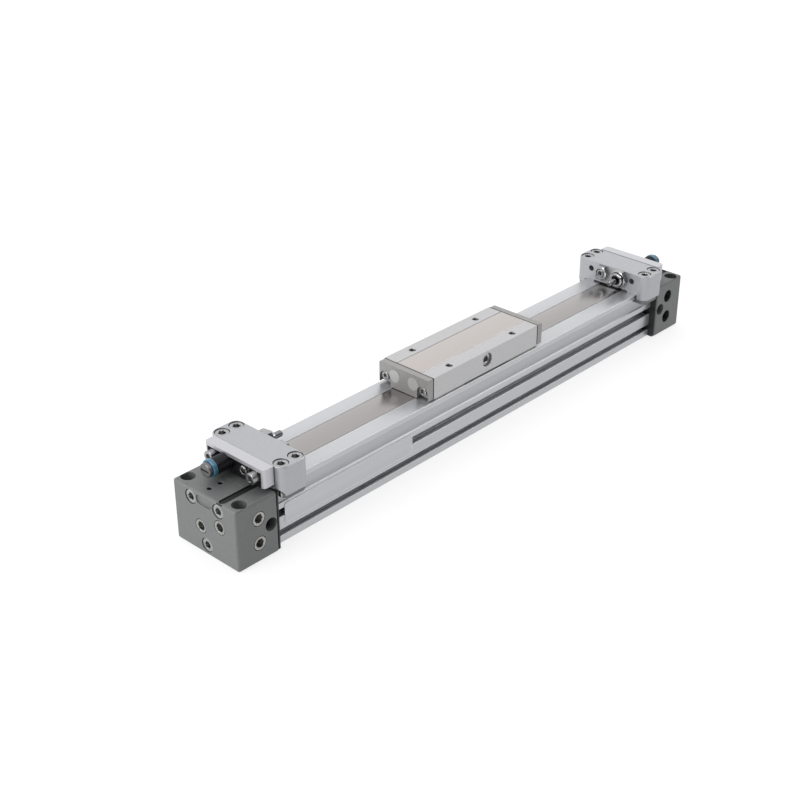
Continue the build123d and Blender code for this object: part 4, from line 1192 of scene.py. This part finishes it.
@dataclass
class Bands:
    """The steel dust band and the resin seal band, lifted and dipped round the yoke.

    Each is made in two halves that meet over the carriage.
    """

    workshop: Workshop
    bend: float = 40.0
    steel_level: float = 38.02
    steel_lift: float = 12.6
    steel_crest: float = 8.0
    steel_end: float = 190.0
    steel_half: float = 9.2
    steel_thickness: float = 0.3
    seal_level: float = 34.75
    seal_dip: float = -8.5
    seal_trough: float = 12.0
    seal_end: float = 179.5
    seal_half: float = 4.5
    seal_sole: float = 0.4
    neck_half: float = 2.9
    neck_top: float = 2.6
    crown: Pair = (2.6, 2.8)
    strip_fillet: float = 0.1
    seal_fillet: float = 0.15
    fillet_steps: int = 2
    bend_reach: float = 50.0
    bend_rows: int = 81
    flat_rows: int = 30
    still: float = 192.0
    along: float = 48.0

    def _line(
        self, places: np.ndarray, level: float, change: float, crest: float
    ) -> tuple[np.ndarray, np.ndarray]:
        """Centre line and normals: two tangent arcs of the bend radius on each side of the crest.

        Near the crest z = level + change -+ (R - sqrt(R^2 - d^2)), near the foot
        z = level +- (R - sqrt(R^2 - e^2)), with d and e the distances from crest and foot.

        Args:
            places: X of each point.
            level: height where the band lies flat.
            change: how far it climbs, or dips if below nought.
            crest: length of the flat top.

        Returns:
            Points and unit normals.
        """
        way, climb = math.copysign(1, change), abs(change)
        turn = math.acos(1 - climb / (2 * self.bend))
        run = 2 * self.bend * math.sin(turn)
        far = np.abs(places - CARRIAGE_X)
        over = np.clip(far - crest / 2, 0, run / 2)
        under = np.clip(crest / 2 + run - far, 0, run / 2)
        high = climb - (self.bend - np.sqrt(self.bend**2 - over**2))
        low = self.bend - np.sqrt(self.bend**2 - under**2)
        rise = level + way * np.where(far < crest / 2 + run / 2, high, low)
        slope = np.gradient(rise, places)
        size = np.sqrt(1 + slope**2)
        nought = np.zeros_like(places)
        return np.stack([places, nought, rise], -1), np.stack([-slope / size, nought, 1 / size], -1)

    def _places(self, end: float) -> np.ndarray:
        """X of the rows of the left half: fine where the band bends, coarse where it lies flat.

        Args:
            end: how far the band reaches from the middle.

        Returns:
            X of each row, from the left end to the crest.
        """
        bent = np.linspace(CARRIAGE_X - self.bend_reach, CARRIAGE_X, self.bend_rows)
        return np.concatenate([np.linspace(-end, bent[0], self.flat_rows)[:-1], bent])

    def _halves(
        self, name: str, section: np.ndarray, end: float, form: Vec3, surface: Surface, node: str
    ) -> None:
        """Make both halves of one band.

        Args:
            name: what the halves are called, after their side.
            section: the band's section, n by 2.
            end: how far the band reaches from the middle.
            form: its level, how far it climbs and the length of the crest.
            surface: its finish.
            node: the node that it replaces.
        """
        left = self._places(end)
        right = 2 * CARRIAGE_X - left[::-1]
        foot = self.bend_rows - 1
        right[foot:] = np.linspace(right[foot], end, len(right) - foot)
        for side, places in (("left", left), ("right", right)):
            path, across = self._line(places, *form)
            shell = Shell.swept(section, path, across)
            if side == "left":
                first, last = ("cylinder", -self.still), ("carriage", -self.along)
            else:
                first, last = ("carriage", self.along + 2 * CARRIAGE_X), ("cylinder", self.still)
            self.workshop.stretch(f"{side}_{name}", shell, surface, node, first, last)

    def _strip_section(self) -> np.ndarray:
        """Section of the steel band: a thin strip with softened edges.

        Returns:
            n by 2 points.
        """
        half, thick = self.steel_half, self.steel_thickness / 2
        corners = [(-half, -thick), (half, -thick), (half, thick), (-half, thick)]
        return rounded(corners, [self.strip_fillet] * len(corners), self.fillet_steps)

    def _seal_section(self) -> np.ndarray:
        """Section of the seal band: a sole with a neck that fills the slot.

        The two lowest corners come twice, so the outline doubles back along the middle of the sole.

        Returns:
            n by 2 points.
        """
        half, sole = self.seal_half, self.seal_sole
        corners = [(-half, -sole), (half, -sole), (half, sole), (self.neck_half, sole)]
        corners += [(self.neck_half, self.neck_top), self.crown]
        corners += [(-y, z) for y, z in corners[::-1]]
        return rounded(corners, [self.seal_fillet] * len(corners), self.fillet_steps)

    def build(self) -> None:
        """Make the bands and dress the plates that hold the steel one."""
        form = (self.steel_level, self.steel_lift, self.steel_crest)
        strip, seal = self._strip_section(), self._seal_section()
        self._halves("dust_strip", strip, self.steel_end, form, Surface.BAND, "dust_band")
        form = (self.seal_level, self.seal_dip, self.seal_trough)
        self._halves("seal_strip", seal, self.seal_end, form, Surface.BAND_RESIN, "seal_band")
        self.workshop.dress(Surface.CAP, "band_clamps")


@dataclass
class EndCaps:
    """Both end caps with their screws, plugs, needles and threads."""

    workshop: Workshop
    half_width: float = 25.8
    screw: SocketScrew = SocketScrew(2.4, 37.1, 4.25, 5.0, 4.0)
    screw_places: Pairs = ((-11.2, 33.0), (11.2, 33.0), (0.0, 6.4))
    screw_recess: float = 0.4
    plug: SocketPlug = SocketPlug()
    end_ports: Pairs = ((4.0, 17.1), (-11.9, 23.1))
    side_ports: Pairs = ((-194.1, 27.4), (-194.1, 11.7))
    port_radius: float = 4.5
    thread_length: float = 8.4
    pitch: float = 0.9
    ridge: float = 0.26
    thread_mouth: float = 0.7

    def _screws(self) -> Shell:
        """Three screws in each cap's end face.

        Returns:
            All six.
        """
        screw, seat = self.screw.shell(), -HALF_LENGTH + self.screw_recess
        left = [screw.facing((seat, y, z), (-1, 0, 0)) for y, z in self.screw_places]
        return Shell.joined(left + [shell.mirrored() for shell in left])

    def _plugs(self) -> Shell:
        """Plugs in every port of the left cap, and in all but the front ones of the right cap.

        Returns:
            All of them.
        """
        plug = self.plug.shell()
        ends = [plug.facing((-HALF_LENGTH, y, z), (-1, 0, 0)) for y, z in self.end_ports]
        front = [plug.facing((x, -self.half_width, z), (0, -1, 0)) for x, z in self.side_ports]
        back = [plug.facing((x, self.half_width, z), (0, 1, 0)) for x, z in self.side_ports]
        right = [shell.mirrored() for shell in ends + back]
        return Shell.joined(ends + front + back + right)

    def _threads(self) -> Shell:
        """Cut threads in the right cap's open front ports, dressed dark as painted shade inside them.

        Returns:
            Both sleeves.
        """
        sleeve = hole_thread(
            self.port_radius, self.thread_length, self.pitch, self.ridge, self.thread_mouth
        )
        places = [(-x, -self.half_width, z) for x, z in self.side_ports]
        return Shell.joined([sleeve.facing(place, (0, -1, 0)) for place in places])

    def build(self) -> None:
        """Make the screws, plugs and port threads, and dress the caps."""
        shop = self.workshop
        shop.fit("cap_socket_screws", self._screws(), Surface.PLATED, "tube_screws")
        shop.fit("cap_port_plugs", self._plugs(), Surface.PLUG, "port_plugs")
        # painted shade: the open ports' threads wear the dark black oxide finish.
        shop.add("open_port_threads", self._threads(), Surface.BLACK, "right_end_cap")
        shop.dress(Surface.CAP, "left_end_cap", "right_end_cap")
        shop.dress(Surface.BLACK, "cushion_needles", "band_set_screws")


@dataclass
class StrokeAdjusters:
    """The blocks over the tube's ends with their absorbers, stop bolts, nuts and screws."""

    workshop: Workshop
    middle_x: float = -169.75
    top: float = 53.4
    front_x: float = -159.5
    screw: SocketScrew = SocketScrew(2.4, 15.4, 4.25, 5.0, 4.0)
    screw_step: float = 5.25
    screw_y: float = 24.0
    screw_recess: float = 0.4
    holder: SocketScrew = SocketScrew(2.0, 20.0, 3.5, 4.0, 3.0, 22)
    holder_x: float = -191.5
    holder_y: float = 17.0
    holder_z: float = 47.3
    axis_y: float = 7.5
    axis_z: float = 47.0
    rod_bore: float = 2.08
    sides: int = 60
    neck: Pairs = ((0.0, 10.8), (4.2, 10.8), (4.3, 10.9), (4.3, 13.6), (4.6, 13.62))
    body_radius: float = 5.0
    body_thread: Pair = (13.9, 54.9)
    body_ridge: float = 0.36
    rod_room: float = 33.45
    collar: Pairs = (
        (3.1, 54.92), (3.1, 56.05), (3.35, 56.4), (3.6, 56.5),
        (4.55, 56.5), (4.85, 56.35), (5.0, 56.05), (5.0, 54.92),
    )
    ring_radius: float = 5.36
    ring_front: Pairs = ((4.35, 10.85), (4.35, 13.55), (4.9, 13.58), (5.25, 13.4), (5.36, 13.1))
    ring_ribs: Pair = (12.9, 11.7)
    ring_rear: Pairs = ((5.36, 11.4), (5.3, 11.1), (5.0, 10.85))
    ribs: int = 30
    points_a_rib: int = 4
    rib_depth: float = 0.02
    bolt_radius: float = 3.0
    bolt_ends: Pair = (21.9, 53.5)
    bolt_rim: Pair = (2.45, 2.95)
    bolt_chamfer: float = 0.5
    bolt_key: float = 3.0
    bolt_socket: float = 3.0
    bolt_drill: float = 0.5
    bolt_mouth: float = 0.2
    bolt_spread: float = 1.05
    bolt_run_in: float = 0.6
    bolt_ridge: float = 0.32
    pitch: float = 1.0
    absorber_nut: HexNut = HexNut(12.0, 4.0, 5.05, 21)
    bolt_nut: HexNut = HexNut(10.0, 3.0, 3.08, 15)

    def _both(self, shells: Sequence[Shell]) -> Shell:
        """Pieces of the left adjuster and the same pieces turned to the right one."""
        return Shell.joined([*shells, *[shell.turned() for shell in shells]])

    def _top_screws(self) -> Shell:
        """Four screws in each block's top.

        Returns:
            All eight.
        """
        screw = self.screw.shell()
        places = [
            (self.middle_x + way * self.screw_step, side * self.screw_y, self.top - self.screw_recess)
            for way in (-1, 1)
            for side in (-1, 1)
        ]
        return self._both([screw.facing(place, (0, 0, 1)) for place in places])

    def _holding_screws(self) -> Shell:
        """Two screws behind each block.

        Returns:
            All four.
        """
        screw = self.holder.shell()
        places = [(self.holder_x, side * self.holder_y, self.holder_z) for side in (-1, 1)]
        return self._both([screw.facing(place, (-1, 0, 0)) for place in places])

    def _on_absorber_axis(self, shell: Shell) -> Shell:
        """A shell whose Z is the distance from the left end, on the absorber's axis."""
        return shell.facing((-HALF_LENGTH, self.axis_y, self.axis_z), (1, 0, 0))

    def _on_bolt_axis(self, shell: Shell) -> Shell:
        """A shell whose Z is the distance from the left end, on the stop bolt's axis."""
        return shell.facing((-HALF_LENGTH, -self.axis_y, self.axis_z), (1, 0, 0))

    def _body(self) -> Shell:
        """Absorber body: plain neck under the ring, then a fine thread up to the front collar.

        Returns:
            The left one.
        """
        rear, front = self.body_thread
        thread = threaded(self.body_radius, self.body_ridge, self.pitch, rear, front, self.sides)
        room = [(self.rod_bore, front), (self.rod_bore, self.rod_room), (0.0, self.rod_room)]
        grid = np.vstack([rows_grid(self.neck, self.sides), thread, rows_grid(room, self.sides)])
        return self._on_absorber_axis(Shell.grid(grid))

    def _collar(self) -> Shell:
        """Bright collar round the absorber's front, with a sunk face round the rod."""
        return self._on_absorber_axis(Shell.grid(rows_grid(self.collar, self.sides), loop=True))

    def _ribbed(self, theta: np.ndarray) -> np.ndarray:
        """Radius of the ribbed ring: radius * (1 - depth * (1 - cos(ribs * angle)) / 2)."""
        return self.ring_radius * (1 - self.rib_depth * (1 - np.cos(self.ribs * theta)) / 2)

    def _ring(self) -> Shell:
        """Coloured ring with fine ribs round its middle.

        Returns:
            The left one.
        """
        ribbed = [(self._ribbed, height) for height in self.ring_ribs]
        rows = [*self.ring_front, *ribbed, *self.ring_rear]
        return self._on_absorber_axis(Shell.grid(rows_grid(rows, self.ribs * self.points_a_rib), loop=True))

    def _key_socket(self, theta: np.ndarray) -> np.ndarray:
        """Radius of the bolt's hexagon socket at each angle."""
        return flats(theta, self.bolt_key)

    def _bolt(self) -> Shell:
        """Stop bolt: a thread between two chamfered ends, each with a hexagon key socket.

        Returns:
            The left one.
        """
        (rear, front), (face, rim) = self.bolt_ends, self.bolt_rim
        mouth = self.bolt_key / math.sqrt(3) * self.bolt_spread
        start = [
            (0.0, rear + self.bolt_socket + self.bolt_drill),
            (self._key_socket, rear + self.bolt_socket),
            (self._key_socket, rear + self.bolt_mouth),
            (mouth, rear),
            (face, rear),
            (rim, rear + self.bolt_chamfer),
        ]
        finish = [
            (rim, front - self.bolt_chamfer),
            (face, front),
            (mouth, front),
            (self._key_socket, front - self.bolt_mouth),
            (self._key_socket, front - self.bolt_socket),
            (0.0, front - self.bolt_socket - self.bolt_drill),
        ]
        low, high = rear + self.bolt_run_in, front - self.bolt_run_in
        thread = threaded(self.bolt_radius, self.bolt_ridge, self.pitch, low, high, self.sides)
        grid = np.vstack([rows_grid(start, self.sides), thread, rows_grid(finish, self.sides)])
        return self._on_bolt_axis(Shell.grid(grid))

    def _nuts(self, nut: HexNut, side: int) -> Shell:
        """A lock nut against each block's front face.

        Args:
            nut: the nut.
            side: 1 for the absorber's axis and -1 for the bolt's, at the left end.

        Returns:
            Both nuts.
        """
        place = (self.front_x, side * self.axis_y, self.axis_z)
        return self._both([nut.shell().facing(place, (1, 0, 0))])

    def build(self) -> None:
        """Make the threaded and turned pieces and dress the blocks, covers and plates."""
        shop = self.workshop
        shop.fit("adjuster_socket_screws", self._top_screws(), Surface.PLATED, "adjuster_screws")
        shop.fit("holding_socket_screws", self._holding_screws(), Surface.PLATED, "holding_screws")
        body, bolt = self._body(), self._bolt()
        shop.fit("left_threaded_absorber", body, Surface.BLACK, "left_absorber_body")
        shop.fit("right_threaded_absorber", body.turned(), Surface.BLACK, "right_absorber_body")
        shop.add("absorber_collars", self._both([self._collar()]), Surface.PLATED, "absorber_nuts")
        shop.fit("ribbed_blue_rings", self._both([self._ring()]), Surface.RING, "absorber_rings")
        shop.fit("left_threaded_bolt", bolt, Surface.PLATED, "left_stop_bolt")
        shop.fit("right_threaded_bolt", bolt.turned(), Surface.PLATED, "right_stop_bolt")
        nuts = self._nuts(self.absorber_nut, 1)
        shop.fit("absorber_lock_nuts", nuts, Surface.PLATED, "absorber_nuts")
        nuts = self._nuts(self.bolt_nut, -1)
        shop.fit("bolt_lock_nuts", nuts, Surface.PLATED, "stop_nuts")
        for side in ("left", "right"):
            shop.dress(Surface.BLOCK, f"{side}_adjuster_block")
            # painted shade: the clamps are dressed darker than the block.
            shop.dress(Surface.PAINTED_SHADE_GREY, f"{side}_adjuster_clamps")
            shop.dress(Surface.ADJUSTER_COVER, f"{side}_adjuster_cover")
            shop.dress(Surface.BLACK, f"{side}_holding_plate")
            shop.dress(Surface.CHROME, f"{side}_absorber_rod")
        shop.dress(Surface.ABSORBER_END, "absorber_ends")
        shop.dress(Surface.PLATED, "plain_washers", "split_washers")


@dataclass
class Carriage:
    """The slide table with its cover strip, end plates, screws, pads and inner parts."""

    workshop: Workshop
    half_length: float = 54.2
    table_half: float = 49.2
    half_width: float = 20.15
    top: float = 53.4
    strip_half: float = 9.78
    strip_bottom: float = 52.2
    plate_screw: SocketScrew = SocketScrew(1.5, 8.0, 2.75, 3.0, 2.5, 20)
    plate_screw_places: Pairs = ((-15.3, 44.6), (15.3, 44.6))
    side_screw: SocketScrew = SocketScrew(2.4, 10.25, 4.25, 3.2, 4.0)
    side_screw_sink: float = 1.2
    side_screw_height: float = 47.4
    hole_step: Pair = (30.0, 15.1)
    hole_radius: float = 2.1
    thread_length: float = 9.6
    pitch: float = 0.8
    ridge: float = 0.2
    thread_mouth: float = 0.6
    strip_fillets: tuple[float, ...] = (0.1, 0.1, 0.28, 0.28)

    def _both_ends(self, shells: Sequence[Shell]) -> Shell:
        """Pieces of the left end and their mirror images at the right end."""
        return Shell.joined([*shells, *[shell.mirrored(CARRIAGE_X) for shell in shells]])

    def _strip(self) -> Shell:
        """Cover strip with rounded long edges, a hair narrower than its seat.

        Returns:
            The strip.
        """
        half, low, high = self.strip_half, self.strip_bottom, self.top
        corners = [(-half, low), (half, low), (half, high), (-half, high)]
        section = rounded(corners, self.strip_fillets)
        return extruded(section, CARRIAGE_X - self.table_half, CARRIAGE_X + self.table_half)

    def _plate_screws(self) -> Shell:
        """Two screws in each end plate.

        Returns:
            All four.
        """
        screw, face_x = self.plate_screw.shell(), CARRIAGE_X - self.half_length
        places = [(face_x, y, z) for y, z in self.plate_screw_places]
        return self._both_ends([screw.facing(place, (-1, 0, 0)) for place in places])

    def _side_screws(self) -> Shell:
        """One screw in each side of the table.

        Returns:
            Both screws.
        """
        screw, seat = self.side_screw.shell(), self.half_width - self.side_screw_sink
        places = [(side, (CARRIAGE_X, side * seat, self.side_screw_height)) for side in (-1, 1)]
        return Shell.joined([screw.facing(place, (0, side, 0)) for side, place in places])

    def _threads(self) -> Shell:
        """Cut threads in the table's four holes, dressed dark as painted shade inside them.

        Returns:
            All four sleeves.
        """
        sleeve = hole_thread(
            self.hole_radius, self.thread_length, self.pitch, self.ridge, self.thread_mouth
        )
        step_x, step_y = self.hole_step
        places = [
            (CARRIAGE_X + way * step_x, side * step_y, self.top) for way in (-1, 1) for side in (-1, 1)
        ]
        return Shell.joined([sleeve.facing(place, (0, 0, 1)) for place in places])

    def build(self) -> None:
        """Make the strip, screws and threads, and dress the table and the parts inside."""
        shop = self.workshop
        shop.fit("table_cover_strip", self._strip(), Surface.COVER, "table_cover")
        shop.fit("end_plate_socket_screws", self._plate_screws(), Surface.PLATED, "end_plate_screws")
        shop.fit("table_side_socket_screws", self._side_screws(), Surface.PLATED, "table_side_screws")
        # painted shade: the hole threads are dressed darker than the table.
        shop.add("table_hole_threads", self._threads(), Surface.PAINTED_SHADE_GREY, "slide_table")
        shop.dress(Surface.TABLE, "slide_table")
        shop.dress(Surface.END_PLATE, "left_end_plate", "right_end_plate")
        shop.dress(Surface.GASKET, "end_gaskets")
        shop.dress(Surface.RUBBER, "scrapers", "piston_seals")
        shop.dress(Surface.PAD, "stop_pads")
        shop.dress(Surface.RESIN, "guide_bearings", "band_shoes", "wear_rings")
        shop.dress(Surface.INNER, "yoke", "left_piston", "right_piston")
        shop.dress(Surface.MAGNET, "piston_magnets")
        shop.dress(Surface.PLATED, "piston_screws")


# Studio


@dataclass
class Studio:
    """Pale floor, soft light and the camera at the photograph's angle."""

    eye: Vec3 = (-601.04, -510.30, 445.28)
    azimuth: float = -46.87
    elevation: float = 28.82
    roll: float = -0.13
    focal_pixels: float = 1410.4
    picture_pixels: float = 800.0
    sensor: float = 36.0
    floor_half: float = 6.0
    floor_drop: float = 0.05
    floor_roughness: float = 0.9
    floor_glow: float = 0.74
    floor_pattern: float = 3.0
    floor_greys: Pair = (0.25, 0.27)
    clip: Pair = (0.01, 50.0)
    bright_side: Vec3 = (0.1, 0.85, 0.52)
    room_light: float = 1.25
    room_span: Pair = (0.28, 0.66)
    room_shades: tuple[Colour, Colour] = ((0.10, 0.10, 0.11), (1.0, 1.0, 1.0))
    lamps: tuple[tuple[str, Vec3, float, float], ...] = (
        ("key_from_left", (-1.8, 0.25, 0.75), 0.9, 17.0),
        ("edge_strip", (0.96, -0.72, 0.93), 0.3, 2.4),
    )
    aim: Vec3 = (0.0, 0.0, 0.03)

    def camera(self) -> None:
        """Place the camera: its axes are right and up turned by the roll, and the way it looks back."""
        around, up_by, tilt = (math.radians(a) for a in (self.azimuth, self.elevation, self.roll))
        level = math.cos(up_by)
        back = Vector((math.sin(around) * level, -math.cos(around) * level, math.sin(up_by)))
        right = Vector((math.cos(around), math.sin(around), 0))
        over = back.cross(right)
        cos, sin = math.cos(tilt), math.sin(tilt)
        turned = Matrix((cos * right + sin * over, -sin * right + cos * over, back)).transposed().to_4x4()
        lens = bpy.data.cameras.new("photo_camera")
        lens.sensor_width = self.sensor
        lens.lens = self.focal_pixels / self.picture_pixels * self.sensor
        lens.clip_start, lens.clip_end = self.clip
        camera = bpy.data.objects.new("photo_camera", lens)
        camera.matrix_world = Matrix.Translation(Vector(self.eye) * MM) @ turned
        bpy.context.scene.collection.objects.link(camera)
        bpy.context.scene.camera = camera

    def floor(self) -> None:
        """A wide pale floor just under the object."""
        half, low = self.floor_half, -self.floor_drop * MM
        mesh = bpy.data.meshes.new("studio_floor")
        corners = [(-half, -half, low), (half, -half, low), (half, half, low), (-half, half, low)]
        mesh.from_pydata(corners, [], [(0, 1, 2, 3)])
        floor = bpy.data.objects.new("studio_floor", mesh)
        bpy.context.scene.collection.objects.link(floor)
        material = bpy.data.materials.new("pale_floor")
        material.use_nodes = True
        tree = material.node_tree
        shader = tree.nodes["Principled BSDF"]
        shader.inputs["Roughness"].default_value = self.floor_roughness
        shader.inputs["Emission Color"].default_value = (1, 1, 1, 1)
        shader.inputs["Emission Strength"].default_value = self.floor_glow
        noise = tree.nodes.new("ShaderNodeTexNoise")
        noise.inputs["Scale"].default_value = self.floor_pattern
        ramp = tree.nodes.new("ShaderNodeValToRGB")
        for element, grey in zip(ramp.color_ramp.elements, self.floor_greys):
            element.color = (grey, grey, grey, 1)
        place = tree.nodes.new("ShaderNodeTexCoord").outputs["Object"]
        tree.links.new(place, noise.inputs["Vector"])
        tree.links.new(noise.outputs["Fac"], ramp.inputs["Fac"])
        tree.links.new(ramp.outputs["Color"], shader.inputs["Base Color"])
        mesh.materials.append(material)

    def world(self) -> None:
        """Soft room: bright behind and above the object, dark on the side that the near flank faces.

        The light from a direction follows half of one plus its dot product with the bright side.
        """
        world = bpy.data.worlds.new("soft_room")
        bpy.context.scene.world = world
        world.use_nodes = True
        tree = world.node_tree
        ground = tree.nodes["Background"]
        place = tree.nodes.new("ShaderNodeTexCoord").outputs["Generated"]
        dot = vector_node(tree, "DOT_PRODUCT", place, self.bright_side)
        ramp = tree.nodes.new("ShaderNodeValToRGB")
        ramp.color_ramp.interpolation = "EASE"
        for element, position, shade in zip(ramp.color_ramp.elements, self.room_span, self.room_shades):
            element.position = position
            element.color = (*shade, 1)
        share = calculated(tree, "MULTIPLY_ADD", dot.outputs["Value"], 0.5, 0.5)
        tree.links.new(share, ramp.inputs["Fac"])
        tree.links.new(ramp.outputs["Color"], ground.inputs["Color"])
        ground.inputs["Strength"].default_value = self.room_light

    def lamp(self, name: str, place: Vec3, size: float, power: float) -> None:
        """A square soft lamp that shines at the point it is aimed at.

        Args:
            name: the lamp's name.
            place: where it hangs, in metres.
            size: its side, in metres.
            power: watts.
        """
        light = bpy.data.lights.new(name, "AREA")
        light.size, light.energy = size, power
        lamp = bpy.data.objects.new(name, light)
        lamp.location = place
        lamp.rotation_mode = "QUATERNION"
        lamp.rotation_quaternion = (Vector(self.aim) - Vector(place)).to_track_quat("-Z", "Y")
        bpy.context.scene.collection.objects.link(lamp)

    def build(self) -> None:
        """Set the floor, the room, the lamps and the camera."""
        bpy.context.scene.view_settings.view_transform = "Standard"
        self.camera()
        self.floor()
        self.world()
        for lamp in self.lamps:
            self.lamp(*lamp)
        LOG.info("studio set")


def main() -> None:
    """Load the frame, build each sub-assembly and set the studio."""
    logging.basicConfig(level=logging.INFO, format="%(name)s: %(message)s")
    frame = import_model()
    workshop = Workshop(frame, Paintbox())
    Studio().build()
    TubeAssembly(workshop).build()
    Bands(workshop).build()
    EndCaps(workshop).build()
    StrokeAdjusters(workshop).build()
    Carriage(workshop).build()


if __name__ == "__main__":
    main()
